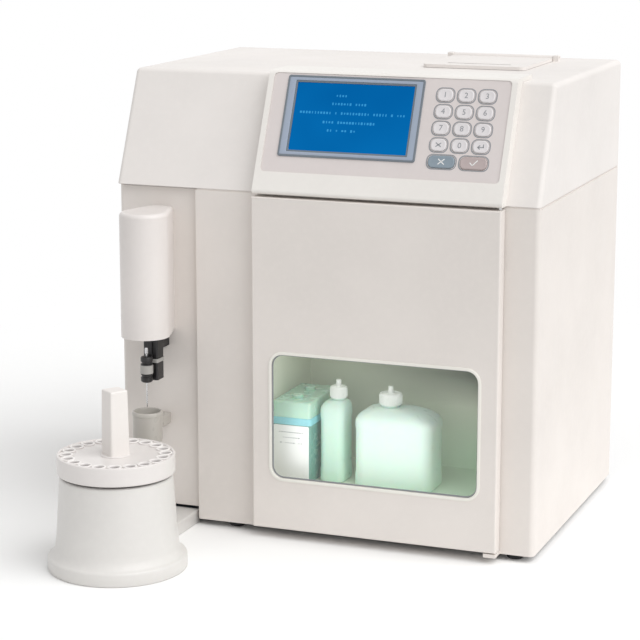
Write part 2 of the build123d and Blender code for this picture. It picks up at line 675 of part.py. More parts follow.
NECK_H = 11.0
SMALL_X, SMALL_Y, SMALL_W, SMALL_D, SMALL_H = 0.5, -6.0, 24.0, 30.0, 76.0
LARGE_X, LARGE_Y, LARGE_W, LARGE_D, LARGE_H = 60.5, -4.0, 74.0, 48.0, 73.0
SMALL_NECK_R = 6.0
LARGE_NECK_R = 8.5
SMALL_CAP = (SMALL_X + 3.0, SMALL_Y - 2.0)
LARGE_CAP = (LARGE_X - 8.0, LARGE_Y)
BOTTLE_T = 1.5


def bottle_body(x, y, width, depth, height, neck, neck_r):
    """A hollow bottle that stands on the shelf, with a straight neck for its cap."""
    corner = min(width, depth) * 0.28
    with BuildPart() as body:
        with BuildSketch(Plane.XY.offset(SHELF_Z)):
            with Locations((x, y)):
                RectangleRounded(width, depth, corner)
        extrude(amount=height)
        fillet(body.faces().sort_by(Axis.Z)[-1].edges(), radius=corner * 0.6)
        rod((*neck, SHELF_Z + height - 1), NECK_H + 1, neck_r)
        with BuildSketch(Plane.XY.offset(SHELF_Z + BOTTLE_T)):
            with Locations((x, y)):
                RectangleRounded(width - 2 * BOTTLE_T, depth - 2 * BOTTLE_T, corner - BOTTLE_T)
        extrude(amount=height - 3 * BOTTLE_T - corner * 0.2, mode=Mode.SUBTRACT)
        rod((*neck, SHELF_Z + height / 2), height, neck_r - BOTTLE_T, mode=Mode.SUBTRACT)
    return body.part


save(bottle_body(SMALL_X, SMALL_Y, SMALL_W, SMALL_D, SMALL_H, SMALL_CAP, SMALL_NECK_R), "small_bottle")
save(bottle_body(LARGE_X, LARGE_Y, LARGE_W, LARGE_D, LARGE_H, LARGE_CAP, LARGE_NECK_R), "large_bottle")

CAP_T = 1.5
with BuildPart() as bottle_caps:
    for (x, y), height, neck_r in ((SMALL_CAP, SMALL_H, SMALL_NECK_R), (LARGE_CAP, LARGE_H, LARGE_NECK_R)):
        rim_z = SHELF_Z + height + NECK_H
        rod((x, y, rim_z - NECK_H + 2), NECK_H - 2 + CAP_T, neck_r + CAP_T + SLIDE_GAP)
        rod((x, y, rim_z - NECK_H), NECK_H, neck_r + SLIDE_GAP, mode=Mode.SUBTRACT)
        rod((x, y, rim_z + CAP_T), 6, 2.5)
save(bottle_caps.part, "bottle_caps")

# Sensor block with its five electrodes and the bail that holds them
SENSOR_X, SENSOR_Z = 5.0, 240.0
SENSOR_W, SENSOR_H, SENSOR_D = 98.0, 34.0, 18.0
ELECTRODES = 5
ELECTRODE_R = 7.0
ELECTRODE_PITCH = 17.5
ELECTRODE_L = 18.0
UPPER_WALL_Y = UPPER_BACK - LINER_T
SENSOR_FRONT = UPPER_WALL_Y - SENSOR_D
BAIL_R = 1.5
BAIL_PIVOT_Y = UPPER_WALL_Y - 9.0
BAIL_PIVOT_Z = SENSOR_Z + 12.0
ELECTRODE_FRONT = UPPER_WALL_Y - 4.0 - ELECTRODE_L
BAIL_T = 3.0
BAIL_BACK = ELECTRODE_FRONT - 0.3
with BuildPart() as sensor_block:
    box_between(
        (SENSOR_X - SENSOR_W / 2, SENSOR_FRONT, SENSOR_Z - SENSOR_H / 2),
        (SENSOR_X + SENSOR_W / 2, UPPER_WALL_Y, SENSOR_Z + SENSOR_H / 2),
    )
    fillet(sensor_block.faces().sort_by(Axis.Y)[0].edges(), radius=1.5)
    for i in range(ELECTRODES):
        x = SENSOR_X + (i - (ELECTRODES - 1) / 2) * ELECTRODE_PITCH
        rod((x, SENSOR_FRONT - 1, SENSOR_Z), 1 + SENSOR_D - 4, ELECTRODE_R + SEAT_GAP, "Y", Mode.SUBTRACT)
    rod(
        (SENSOR_X - SENSOR_W / 2 - 1, BAIL_PIVOT_Y, BAIL_PIVOT_Z),
        SENSOR_W + 2,
        BAIL_R + RUN_GAP,
        "X",
        Mode.SUBTRACT,
    )
save(sensor_block.part, "sensor_block")

with BuildPart() as electrodes:
    for i in range(ELECTRODES):
        x = SENSOR_X + (i - (ELECTRODES - 1) / 2) * ELECTRODE_PITCH
        rod((x, ELECTRODE_FRONT, SENSOR_Z), ELECTRODE_L, ELECTRODE_R, "Y")
    chamfer(electrodes.edges().group_by(Axis.Y)[0], length=1)
save(electrodes.part, "electrodes")

# Bail: two flat arms outside the block, a bar across the electrodes and a pivot rod through the block
ARM_T = 2.5
with BuildPart() as sensor_clamp:
    for side in (-1, 1):
        x_in = SENSOR_X + side * (SENSOR_W / 2 + SLIDE_GAP)
        x_out = x_in + side * ARM_T
        with BuildSketch(Plane.YZ.offset(min(x_in, x_out))):
            with BuildLine():
                Polyline(
                    (BAIL_PIVOT_Y + 4, BAIL_PIVOT_Z + 4),
                    (BAIL_BACK - BAIL_T, BAIL_PIVOT_Z + 4),
                    (BAIL_BACK - BAIL_T, SENSOR_Z - 4),
                    (BAIL_BACK + 2, SENSOR_Z - 4),
                    (BAIL_BACK + 3, BAIL_PIVOT_Z - 4),
                    (BAIL_PIVOT_Y + 4, BAIL_PIVOT_Z - 4),
                    close=True,
                )
            make_face()
        extrude(amount=ARM_T)
    reach = SENSOR_W / 2 + SLIDE_GAP + ARM_T
    box_between(
        (SENSOR_X - reach, BAIL_BACK - BAIL_T, SENSOR_Z - 4),
        (SENSOR_X + reach, BAIL_BACK, SENSOR_Z + 4),
    )
    rod((SENSOR_X - reach, BAIL_PIVOT_Y, BAIL_PIVOT_Z), 2 * reach, BAIL_R, "X")
save(sensor_clamp.part, "sensor_clamp")

# Peristaltic pump: a track plate with its motor, a rotor with three rollers, and the pump tube
TRACK_R = 27.0
TRACK_W = 16.0
PLATE_W = 64.0
PLATE_T = 3.0
PUMP_FLOOR = UPPER_WALL_Y - PLATE_T
TUBE_R = 2.2
ROLLER_R = 5.0
ROLLER_RING = TRACK_R - 2 * TUBE_R - SLIDE_GAP - ROLLER_R
SHAFT_R = 3.0
ROTOR_R = 20.0
with BuildPart() as pump_body:
    box_between(
        (PUMP_X - PLATE_W / 2, PUMP_FLOOR - TRACK_W, PUMP_Z - PLATE_W / 2),
        (PUMP_X + PLATE_W / 2, UPPER_WALL_Y, PUMP_Z + PLATE_W / 2),
    )
    fillet(pump_body.edges().filter_by(Axis.Y), radius=5)
    rod((PUMP_X, PUMP_FLOOR - TRACK_W - 1, PUMP_Z), TRACK_W + 1, TRACK_R, "Y", Mode.SUBTRACT)
    box_between(
        (PUMP_X - TRACK_R, PUMP_FLOOR - TRACK_W - 1, PUMP_Z - PLATE_W / 2 - 1),
        (PUMP_X + TRACK_R, PUMP_FLOOR, PUMP_Z),
        Mode.SUBTRACT,
    )
    rod((PUMP_X, UPPER_WALL_Y, PUMP_Z), 42, MOTOR_R, "Y")
    rod((PUMP_X, PUMP_FLOOR - 1, PUMP_Z), 20, SHAFT_R + RUN_GAP, "Y", Mode.SUBTRACT)
save(pump_body.part, "pump_body")

ROTOR_T = 2.0
with BuildPart() as pump_rotor:
    rod((PUMP_X, PUMP_FLOOR - TRACK_W, PUMP_Z), TRACK_W + 12, SHAFT_R, "Y")
    rod((PUMP_X, PUMP_FLOOR - ROTOR_T - PART_GAP, PUMP_Z), ROTOR_T, ROTOR_R, "Y")
    rod((PUMP_X, PUMP_FLOOR - TRACK_W, PUMP_Z), ROTOR_T, ROTOR_R, "Y")
    with Locations(Location((PUMP_X, PUMP_FLOOR - TRACK_W / 2, PUMP_Z), (90, 0, 0))):
        with PolarLocations(ROLLER_RING, 3, start_angle=90):
            Cylinder(SCREW_R, TRACK_W - ROTOR_T)
save(pump_rotor.part, "pump_rotor")

ROLLER_L = TRACK_W - 2 * ROTOR_T - PART_GAP - 2 * SLIDE_GAP
with BuildPart() as pump_rollers:
    roller_y = PUMP_FLOOR - TRACK_W + ROTOR_T + SLIDE_GAP + ROLLER_L / 2
    with Locations(Location((PUMP_X, roller_y, PUMP_Z), (90, 0, 0))):
        with PolarLocations(ROLLER_RING, 3, start_angle=90):
            Cylinder(ROLLER_R, ROLLER_L)
            Cylinder(SCREW_R + RUN_GAP, ROLLER_L + 1, mode=Mode.SUBTRACT)
save(pump_rollers.part, "pump_rollers")

# The tube lies in the track and both its ends go down into the partition
TUBE_RING = TRACK_R - TUBE_R - SEAT_GAP
TUBE_Y = PUMP_FLOOR - TRACK_W / 2 + PART_GAP
with BuildPart() as pump_tube:
    with BuildLine() as tube_path:
        left = (PUMP_X - TUBE_RING, TUBE_Y, PUMP_Z)
        right = (PUMP_X + TUBE_RING, TUBE_Y, PUMP_Z)
        Line((left[0], TUBE_Y, PARTITION_Z + SEAT_GAP), left)
        ThreePointArc(left, (PUMP_X, TUBE_Y, PUMP_Z + TUBE_RING), right)
        Line(right, (right[0], TUBE_Y, PARTITION_Z + SEAT_GAP))
    with BuildSketch(Plane(origin=(left[0], TUBE_Y, PARTITION_Z + SEAT_GAP), z_dir=(0, 0, 1))):
        Circle(TUBE_R)
    sweep(path=tube_path.line)
save(pump_tube.part, "pump_tube")

# Pinch valve between the sensors and the pump
VALVE_X, VALVE_Z = 68.0, 282.0
with BuildPart() as pinch_valve:
    rod((VALVE_X, UPPER_WALL_Y - 20, VALVE_Z), 20, 9.0, "Y")
    rod((VALVE_X, UPPER_WALL_Y - 27, VALVE_Z), 7, 5.0, "Y")
    box_between(
        (VALVE_X - 8, UPPER_WALL_Y - 25, VALVE_Z - 1.5),
        (VALVE_X + 8, UPPER_WALL_Y - 22, VALVE_Z + 1.5),
        Mode.SUBTRACT,
    )
save(pinch_valve.part, "pinch_valve")

# Power supply and main board on the base plate
SUPPLY_W, SUPPLY_D, SUPPLY_H = 150.0, 105.0, 42.0
SUPPLY_R = HALF_W - 20.0
SUPPLY_BACK = REAR_PANEL_Y - 20.0
with BuildPart() as power_supply:
    box_between(
        (SUPPLY_R - SUPPLY_W, SUPPLY_BACK - SUPPLY_D, FLOOR_Z),
        (SUPPLY_R, SUPPLY_BACK, FLOOR_Z + SUPPLY_H),
    )
    fillet(power_supply.edges().filter_by(Axis.Z), radius=2)
    with Locations((SUPPLY_R - SUPPLY_W / 2, SUPPLY_BACK - SUPPLY_D / 2, FLOOR_Z + SUPPLY_H)):
        with GridLocations(8, 12, 14, 6):
            Cylinder(1.8, 3, mode=Mode.SUBTRACT)
save(power_supply.part, "power_supply")

BOARD_L, BOARD_R = -100.0, 15.0
BOARD_FRONT, BOARD_BACK = 100.0, REAR_PANEL_Y - 2.0
BOARD_Z = SERIAL_Z - SERIAL_H / 2 - BOARD_T
COMPONENTS = (
    (-70.0, 130.0, 26.0, 26.0, 3.0),
    (-25.0, 135.0, 18.0, 18.0, 3.0),
    (-75.0, 180.0, 12.0, 30.0, 8.0),
    (-35.0, 175.0, 22.0, 10.0, 5.0),
)
STANDOFF_R = 3.0
STANDOFF_IN = 6.0
with BuildPart() as main_board:
    box_between((BOARD_L, BOARD_FRONT, BOARD_Z), (BOARD_R, BOARD_BACK, BOARD_Z + BOARD_T))
    for x in (BOARD_L + STANDOFF_IN, BOARD_R - STANDOFF_IN):
        for y in (BOARD_FRONT + STANDOFF_IN, BOARD_BACK - STANDOFF_IN):
            rod((x, y, FLOOR_Z), BOARD_Z - FLOOR_Z, STANDOFF_R)
    box_between(
        (SERIAL_X - SERIAL_W / 2, BOARD_BACK - 12, BOARD_Z + BOARD_T),
        (SERIAL_X + SERIAL_W / 2, REAR_PANEL_Y + REAR_T + 1, BOARD_Z + BOARD_T + SERIAL_H),
    )
    for x, y, w, d, h in COMPONENTS:
        with Locations((x, y, BOARD_Z + BOARD_T + h / 2)):
            Box(w, d, h)
save(main_board.part, "main_board")

# Fan behind the rear panel's grille
FAN_BACK = REAR_PANEL_Y
FAN_BORE = FAN_SIZE / 2 - 2
HUB_R = 18.0
FAN_PIN_R = 1.5
SPIDER_T = 3.0
with BuildPart() as fan_housing:
    box_between(
        (FAN_X - FAN_SIZE / 2, FAN_BACK - FAN_DEPTH, FAN_Z - FAN_SIZE / 2),
        (FAN_X + FAN_SIZE / 2, FAN_BACK, FAN_Z + FAN_SIZE / 2),
    )
    fillet(fan_housing.edges().filter_by(Axis.Y), radius=4)
    rod((FAN_X, FAN_BACK - FAN_DEPTH - 1, FAN_Z), FAN_DEPTH + 2, FAN_BORE, "Y", Mode.SUBTRACT)
    rod((FAN_X, FAN_BACK - FAN_DEPTH, FAN_Z), SPIDER_T, HUB_R - 1, "Y")
    with Locations(Location((FAN_X, FAN_BACK - FAN_DEPTH + SPIDER_T / 2, FAN_Z), (90, 0, 0))):
        with PolarLocations((HUB_R + FAN_BORE) / 2, 4, start_angle=45):
            Box(FAN_BORE - HUB_R + 4, 4, SPIDER_T)
    rod((FAN_X, FAN_BACK - FAN_DEPTH + SPIDER_T - 1, FAN_Z), 10, FAN_PIN_R, "Y")
save(fan_housing.part, "fan_housing")

BLADES = 7
BLADE_R = FAN_BORE - 1.5
BLADE_W, BLADE_T = 20.0, 1.5
BLADE_PITCH = 35.0
with BuildPart() as fan_rotor:
    rod((FAN_X, FAN_BACK - FAN_DEPTH + SPIDER_T + PART_GAP, FAN_Z), FAN_DEPTH - 5, HUB_R, "Y")
    with Locations(Location((FAN_X, FAN_BACK - FAN_DEPTH / 2 + 1, FAN_Z), (90, 0, 0))):
        with PolarLocations((HUB_R + BLADE_R) / 2 - 1, BLADES):
            with Locations(Rotation(BLADE_PITCH, 0, 0)):
                Box(BLADE_R - HUB_R + 1, BLADE_W, BLADE_T)
    rod((FAN_X, FAN_BACK - FAN_DEPTH + SPIDER_T, FAN_Z), 10, FAN_PIN_R + RUN_GAP, "Y", Mode.SUBTRACT)
save(fan_rotor.part, "fan_rotor")

# Mains inlet module: flange, inlet well with its three blades, and the rocker's well beside it
FLANGE_Y = REAR_PANEL_Y + REAR_T
FLANGE_LIP = 3.0
FLANGE_OUT = 2.0
MODULE_DEPTH = 24.0
WELL_W, WELL_H, WELL_DEPTH = 24.0, 17.0, 16.0
ROCKER_W, ROCKER_H = 10.0, 16.0
ROCKER_X = MODULE_R - ROCKER_W / 2 - 3.0
WELL_X = MODULE_L + WELL_W / 2 + 2.5
ROCKER_Y = REAR_PANEL_Y - 3.0
ROCKER_TILT = 8.0
ROCKER_PIN_R = 1.2
with BuildPart() as power_inlet:
    box_between(
        (MODULE_L - FLANGE_LIP, FLANGE_Y, INLET_Z - INLET_H / 2 - FLANGE_LIP),
        (MODULE_R + FLANGE_LIP, FLANGE_Y + FLANGE_OUT, INLET_Z + INLET_H / 2 + FLANGE_LIP),
    )
    box_between(
        (MODULE_L, FLANGE_Y - MODULE_DEPTH, INLET_Z - INLET_H / 2),
        (MODULE_R, FLANGE_Y, INLET_Z + INLET_H / 2),
    )
    box_between(
        (WELL_X - WELL_W / 2, FLANGE_Y - WELL_DEPTH, INLET_Z - WELL_H / 2),
        (WELL_X + WELL_W / 2, BACK_Y + 1, INLET_Z + WELL_H / 2),
        Mode.SUBTRACT,
    )
    box_between(
        (ROCKER_X - ROCKER_W / 2 - SLIDE_GAP, ROCKER_Y - 10, INLET_Z - ROCKER_H / 2),
        (ROCKER_X + ROCKER_W / 2 + SLIDE_GAP, BACK_Y + 1, INLET_Z + ROCKER_H / 2),
        Mode.SUBTRACT,
    )
    for x, z in ((-7, -2), (0, 2), (7, -2)):
        box_between(
            (WELL_X + x - 1, FLANGE_Y - WELL_DEPTH - 1, INLET_Z + z - 2),
            (WELL_X + x + 1, FLANGE_Y - 2, INLET_Z + z + 2),
        )
    rocker_pin_l = ROCKER_W / 2 + 1.5
    rod(
        (ROCKER_X - rocker_pin_l, ROCKER_Y, INLET_Z),
        2 * rocker_pin_l,
        ROCKER_PIN_R + RUN_GAP,
        "X",
        Mode.SUBTRACT,
    )
save(power_inlet.part, "power_inlet")

# The rocker lies tilted to its off side at rest
ROCKER_PLANE = Plane(
    origin=(ROCKER_X - ROCKER_W / 2, ROCKER_Y, INLET_Z),
    x_dir=(0, cos(radians(ROCKER_TILT)), sin(radians(ROCKER_TILT))),
    z_dir=(1, 0, 0),
)
ROCKER_HALF = ROCKER_H / 2 - 1.3
with BuildPart() as power_switch:
    with BuildSketch(ROCKER_PLANE):
        with BuildLine():
            Polyline(
                (-2.5, -ROCKER_HALF + 2),
                (6.0, -ROCKER_HALF),
                (4.2, 0),
                (6.0, ROCKER_HALF),
                (-2.5, ROCKER_HALF - 2),
                close=True,
            )
        make_face()
    extrude(amount=ROCKER_W)
    rod(
        (ROCKER_X - rocker_pin_l + SLIDE_GAP, ROCKER_Y, INLET_Z),
        2 * (rocker_pin_l - SLIDE_GAP),
        ROCKER_PIN_R,
        "X",
    )
save(power_switch.part, "power_switch")

# Sampler hood: a round-nosed cover that narrows to its root on the bay's wall, open below
HOOD_T = 2.5


def hood_plan(wall):
    """The hood's plan in the open sketch, drawn in by a wall's thickness."""
    with Locations((SAMPLER_X, HOOD_NOSE_Y)):
        Circle(HOOD_R - wall)
    with Locations((SAMPLER_X, BAY_Y - 1)):
        Rectangle(HOOD_ROOT - 2 * wall, 2)
    make_hull()


with BuildPart() as sampler_hood:
    with BuildSketch(Plane.XY.offset(HOOD_BOTTOM)):
        hood_plan(0)
    extrude(amount=HOOD_TOP - HOOD_BOTTOM)
    crown = sampler_hood.faces().sort_by(Axis.Z)[-1].edges()
    fillet([e for e in crown if e.center().Y < BAY_Y - 1], radius=4)
    with BuildSketch(Plane.XY.offset(HOOD_BOTTOM)):
        hood_plan(HOOD_T)
    extrude(amount=HOOD_TOP - HOOD_BOTTOM - HOOD_T, mode=Mode.SUBTRACT)
save(sampler_hood.part, "sampler_hood")

# Probe arm: a bar that slides through the bay's wall, with the guide block on its front end
BLOCK_W = 14.0
BLOCK_FRONT = NEEDLE_Y + 8.0
BLOCK_BOTTOM = 141.0
BLOCK_TOP = HOOD_BOTTOM - PART_GAP
TONGUE_W, TONGUE_HEAD_W = 4.6, 8.0
TONGUE_DEPTH, TONGUE_HEAD = 4.8, 2.3
with BuildPart() as probe_arm:
    box_between(
        (SAMPLER_X - BLOCK_W / 2, BLOCK_FRONT, BLOCK_BOTTOM),
        (SAMPLER_X + BLOCK_W / 2, BLOCK_FRONT + BLOCK_W, BLOCK_TOP),
    )
    fillet(probe_arm.edges().filter_by(Axis.Z), radius=1.5)
    box_between(
        (SAMPLER_X - ARM_W / 2, BLOCK_FRONT + BLOCK_W - 1, ARM_Z),
        (SAMPLER_X + ARM_W / 2, BAY_Y + WALL + ARM_TRAVEL + 20, ARM_Z + ARM_H),
    )
    half, head = TONGUE_W / 2 + SLIDE_GAP, TONGUE_HEAD_W / 2 + SLIDE_GAP
    box_between(
        (SAMPLER_X - half, BLOCK_FRONT - 1, BLOCK_BOTTOM - 1),
        (SAMPLER_X + half, BLOCK_FRONT + TONGUE_DEPTH, BLOCK_TOP + 1),
        Mode.SUBTRACT,
    )
    box_between(
        (SAMPLER_X - head, BLOCK_FRONT + TONGUE_DEPTH - TONGUE_HEAD - SLIDE_GAP, BLOCK_BOTTOM - 1),
        (SAMPLER_X + head, BLOCK_FRONT + TONGUE_DEPTH + SLIDE_GAP, BLOCK_TOP + 1),
        Mode.SUBTRACT,
    )
save(probe_arm.part, "probe_arm")

CARRIER_R = 5.5
CARRIER_TOP = 165.0
with BuildPart() as needle_carrier:
    rod((SAMPLER_X, NEEDLE_Y, BLOCK_BOTTOM), CARRIER_TOP - BLOCK_BOTTOM, CARRIER_R)
    fillet(needle_carrier.edges().filter_by(GeomType.CIRCLE), radius=1)
    box_between(
        (SAMPLER_X - TONGUE_W / 2, NEEDLE_Y + 3, BLOCK_BOTTOM + 0.5),
        (SAMPLER_X + TONGUE_W / 2, BLOCK_FRONT + TONGUE_DEPTH, BLOCK_TOP - 1),
    )
    box_between(
        (SAMPLER_X - TONGUE_HEAD_W / 2, BLOCK_FRONT + TONGUE_DEPTH - TONGUE_HEAD, BLOCK_BOTTOM + 0.5),
        (SAMPLER_X + TONGUE_HEAD_W / 2, BLOCK_FRONT + TONGUE_DEPTH, BLOCK_TOP - 1),
    )
    rod((SAMPLER_X, NEEDLE_Y, BLOCK_BOTTOM - 1), 60, NEEDLE_R + RUN_GAP, mode=Mode.SUBTRACT)
save(needle_carrier.part, "needle_carrier")

with BuildPart() as needle:
    rod((SAMPLER_X, NEEDLE_Y, NEEDLE_TIP_Z), CARRIER_TOP + 8 - NEEDLE_TIP_Z, NEEDLE_R)
    rod((SAMPLER_X, NEEDLE_Y, NEEDLE_TIP_Z - 1), 60, NEEDLE_R / 2, mode=Mode.SUBTRACT)
save(needle.part, "needle")

# Wash cup under the needle's rest place, with its drain spout and its bracket to the bay's wall
CUP_T = 2.0
CUP_FLOOR = 3.0
SPOUT_R = 3.0
BRACKET_HALF = 6.0
with BuildPart() as wash_cup:
    rod((SAMPLER_X, NEEDLE_Y, CUP_BOTTOM), CUP_TOP - CUP_BOTTOM, CUP_R)
    fillet(wash_cup.edges().group_by(Axis.Z)[0], radius=3)
    rod((SAMPLER_X, NEEDLE_Y, CUP_BOTTOM - 8), 9, SPOUT_R)
    box_between(
        (SAMPLER_X - BRACKET_HALF, NEEDLE_Y, CUP_BOTTOM + 10),
        (SAMPLER_X + BRACKET_HALF, BAY_Y, CUP_BOTTOM + 20),
    )
    inside = CUP_R - CUP_T
    rod((SAMPLER_X, NEEDLE_Y, CUP_BOTTOM + CUP_FLOOR), CUP_TOP - CUP_BOTTOM, inside, mode=Mode.SUBTRACT)
save(wash_cup.part, "wash_cup")

# Sampler base: the drum and its plinth in one shell, with the neck that docks under the body
NECK_L = CAROUSEL_X - 30.0
NECK_R = BAY_R - WALL - 2 * PART_GAP
NECK_T = 3.0
TONGUE_TOP = BASE_Z - SEAT_GAP
TURN_CENTRE = Plane(origin=(CAROUSEL_X, CAROUSEL_Y, 0), x_dir=(1, 0, 0), z_dir=(0, -1, 0))
with BuildPart() as sampler_base:
    box_between(
        (NECK_L, CAROUSEL_Y + DRUM_R_BOTTOM - 8, 0),
        (NECK_R, BAY_Y + WALL, PLINTH_H),
    )
    box_between(
        (NECK_L + NECK_T, CAROUSEL_Y, -1),
        (NECK_R - NECK_T, BAY_Y + WALL - NECK_T, PLINTH_H - NECK_T),
        Mode.SUBTRACT,
    )
    box_between(
        (CAROUSEL_X - 20, BAY_Y + WALL - 1, 0),
        (NECK_R, BAY_Y + WALL + 26, TONGUE_TOP),
    )
    with BuildSketch(TURN_CENTRE):
        with BuildLine():
            Polyline(
                (0, DRUM_TOP),
                (DRUM_R_TOP - 1.5, DRUM_TOP),
                (DRUM_R_TOP, DRUM_TOP - 1.5),
                (DRUM_R_BOTTOM, PLINTH_H + 10),
                (DRUM_R_BOTTOM + 2, PLINTH_H + 3),
                (PLINTH_R - 3, PLINTH_H),
                (PLINTH_R, PLINTH_H - 3),
                (PLINTH_R, 0),
                (PLINTH_R - WALL, 0),
                (PLINTH_R - WALL, PLINTH_H - 4),
                (DRUM_R_BOTTOM - WALL, PLINTH_H),
                (DRUM_R_TOP - WALL, DRUM_TOP - WALL),
                (0, DRUM_TOP - WALL),
                close=True,
            )
        make_face()
    revolve(axis=Axis((CAROUSEL_X, CAROUSEL_Y, 0), (0, 0, 1)))
    rod((CAROUSEL_X, CAROUSEL_Y, DRUM_TOP - WALL - 1), WALL + 2, SPINDLE_R + RUN_GAP, mode=Mode.SUBTRACT)
save(sampler_base.part, "sampler_base")

# Motor under the drum's top, with the spindle's shaft in it
TRAY_MOTOR_R = 17.0
TRAY_MOTOR_L = 35.9
TRAY_MOTOR_Z = DRUM_TOP - WALL - SEAT_GAP - TRAY_MOTOR_L
SHAFT_FOOT = TRAY_MOTOR_Z + 5.0
with BuildPart() as tray_motor:
    rod((CAROUSEL_X, CAROUSEL_Y, TRAY_MOTOR_Z), TRAY_MOTOR_L, TRAY_MOTOR_R)
    chamfer(tray_motor.edges().group_by(Axis.Z)[0], length=1.5)
    rod((CAROUSEL_X, CAROUSEL_Y, SHAFT_FOOT - 1), 60, SPINDLE_R + RUN_GAP, mode=Mode.SUBTRACT)
save(tray_motor.part, "tray_motor")

# Tray: a plate with a rim, a skirt and a hub, and a ring of pockets; one pocket is under the needle's line
HUB_RADIUS = 12.0
HUB_BOTTOM = DRUM_TOP + 6.0
RIM_H = 1.5
RIM_T = 1.8
SKIRT_T = 2.5
with BuildPart() as tray:
    with BuildSketch(TURN_CENTRE):
        with BuildLine():
            Polyline(
                (SPINDLE_R + RUN_GAP, HUB_BOTTOM),
                (HUB_RADIUS, HUB_BOTTOM),
                (HUB_RADIUS, TRAY_TOP - TRAY_T),
                (TRAY_R - SKIRT_T, TRAY_TOP - TRAY_T),
                (TRAY_R - SKIRT_T, TRAY_TOP - TRAY_SKIRT),
                (TRAY_R, TRAY_TOP - TRAY_SKIRT),
                (TRAY_R, TRAY_TOP + RIM_H),
                (TRAY_R - RIM_T, TRAY_TOP + RIM_H),
                (TRAY_R - RIM_T, TRAY_TOP),
                (SPINDLE_R + RUN_GAP, TRAY_TOP),
                close=True,
            )
        make_face()
    revolve(axis=Axis((CAROUSEL_X, CAROUSEL_Y, 0), (0, 0, 1)))
    with Locations((CAROUSEL_X, CAROUSEL_Y, TRAY_TOP)):
        with PolarLocations(POCKET_RING_R, POCKETS, start_angle=POCKET_PHASE):
            Cylinder(POCKET_R, 3 * TRAY_T, mode=Mode.SUBTRACT)
save(tray.part, "tray")

COLLAR_R = 9.0
COLLAR_Z = DRUM_TOP + PART_GAP
with BuildPart() as tray_spindle:
    rod((CAROUSEL_X, CAROUSEL_Y, SHAFT_FOOT), TRAY_TOP - SHAFT_FOOT + 1, SPINDLE_R)
    rod((CAROUSEL_X, CAROUSEL_Y, COLLAR_Z), HUB_BOTTOM - SEAT_GAP - COLLAR_Z, COLLAR_R)
    with BuildSketch(Plane.XY.offset(TRAY_TOP + SEAT_GAP)):
        with Locations(Location((CAROUSEL_X, CAROUSEL_Y, 0), (0, 0, POST_TURN))):
            RectangleRounded(POST_W, POST_W, 2.5)
    extrude(amount=POST_TOP - TRAY_TOP - SEAT_GAP, taper=1)
    fillet(tray_spindle.faces().sort_by(Axis.Z)[-1].edges(), radius=1.5)
save(tray_spindle.part, "tray_spindle")

# Sample cups: one hangs by its flange in each pocket
SAMPLE_R = POCKET_R - 0.4
SAMPLE_WALL = 0.9
SAMPLE_FLANGE_R = SAMPLE_R + 1.1
SAMPLE_H = 15.0
SAMPLE_FLANGE_T = 1.2
SAMPLE_FLOOR = 1.5
with BuildPart() as sample_cups:
    with Locations((CAROUSEL_X, CAROUSEL_Y, TRAY_TOP + SEAT_GAP)):
        with PolarLocations(POCKET_RING_R, POCKETS, start_angle=POCKET_PHASE):
            Cylinder(SAMPLE_R, SAMPLE_H, align=(Align.CENTER, Align.CENTER, Align.MAX))
            Cylinder(SAMPLE_FLANGE_R, SAMPLE_FLANGE_T, align=(Align.CENTER, Align.CENTER, Align.MIN))
    with Locations((CAROUSEL_X, CAROUSEL_Y, TRAY_TOP + SEAT_GAP - SAMPLE_H + SAMPLE_FLOOR)):
        with PolarLocations(POCKET_RING_R, POCKETS, start_angle=POCKET_PHASE):
            align = (Align.CENTER, Align.CENTER, Align.MIN)
            Cylinder(SAMPLE_R - SAMPLE_WALL, 2 * SAMPLE_H, align=align, mode=Mode.SUBTRACT)
save(sample_cups.part, "sample_cups")
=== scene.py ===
"""Looks of a bench electrolyte analyzer: shells, console, reagent window and sampler in soft studio light.

Sizes are millimetres in the object's own frame, X to the right, Y to the back and Z up. Meshes are in metres.
"""

import json
from math import atan2, cos, pi, radians, sin, tau

import bmesh
import bpy
from mathutils import Matrix, Vector


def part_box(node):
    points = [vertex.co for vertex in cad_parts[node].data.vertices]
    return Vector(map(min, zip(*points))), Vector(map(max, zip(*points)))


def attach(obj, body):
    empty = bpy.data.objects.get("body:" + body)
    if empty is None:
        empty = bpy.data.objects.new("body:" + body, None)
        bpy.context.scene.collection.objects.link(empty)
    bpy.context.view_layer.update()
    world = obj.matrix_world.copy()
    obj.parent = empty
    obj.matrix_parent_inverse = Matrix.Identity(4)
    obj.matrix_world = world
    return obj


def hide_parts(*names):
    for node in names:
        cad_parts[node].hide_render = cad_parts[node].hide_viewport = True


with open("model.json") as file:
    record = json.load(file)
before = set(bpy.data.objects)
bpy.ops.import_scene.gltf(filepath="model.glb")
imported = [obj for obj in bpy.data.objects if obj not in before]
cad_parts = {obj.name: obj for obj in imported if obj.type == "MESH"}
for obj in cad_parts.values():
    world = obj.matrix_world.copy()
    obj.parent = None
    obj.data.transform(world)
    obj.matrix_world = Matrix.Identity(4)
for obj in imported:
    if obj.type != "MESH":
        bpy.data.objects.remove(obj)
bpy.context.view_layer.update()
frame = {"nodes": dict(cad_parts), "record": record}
nodes = frame["nodes"]
bodies = frame["record"]["behaviour"]["bodies"]
body_of_node = {name: body for body, names in bodies.items() for name in names}

MM = 0.001


def corners(name):
    """A node's lowest and highest corner, in millimetres."""
    low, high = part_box(name)
    return low / MM, high / MM


def plane(origin, u, v):
    """A working plane: its own X and Y run along u and v, its Z out of them."""
    u, v = Vector(u).normalized(), Vector(v).normalized()
    turn = Matrix((u, v, u.cross(v))).transposed().to_4x4()
    return Matrix.Translation(Vector(origin)) @ turn


def facing(y):
    """An upright plane that faces the front at that depth."""
    return plane((0, y, 0), (1, 0, 0), (0, 0, 1))


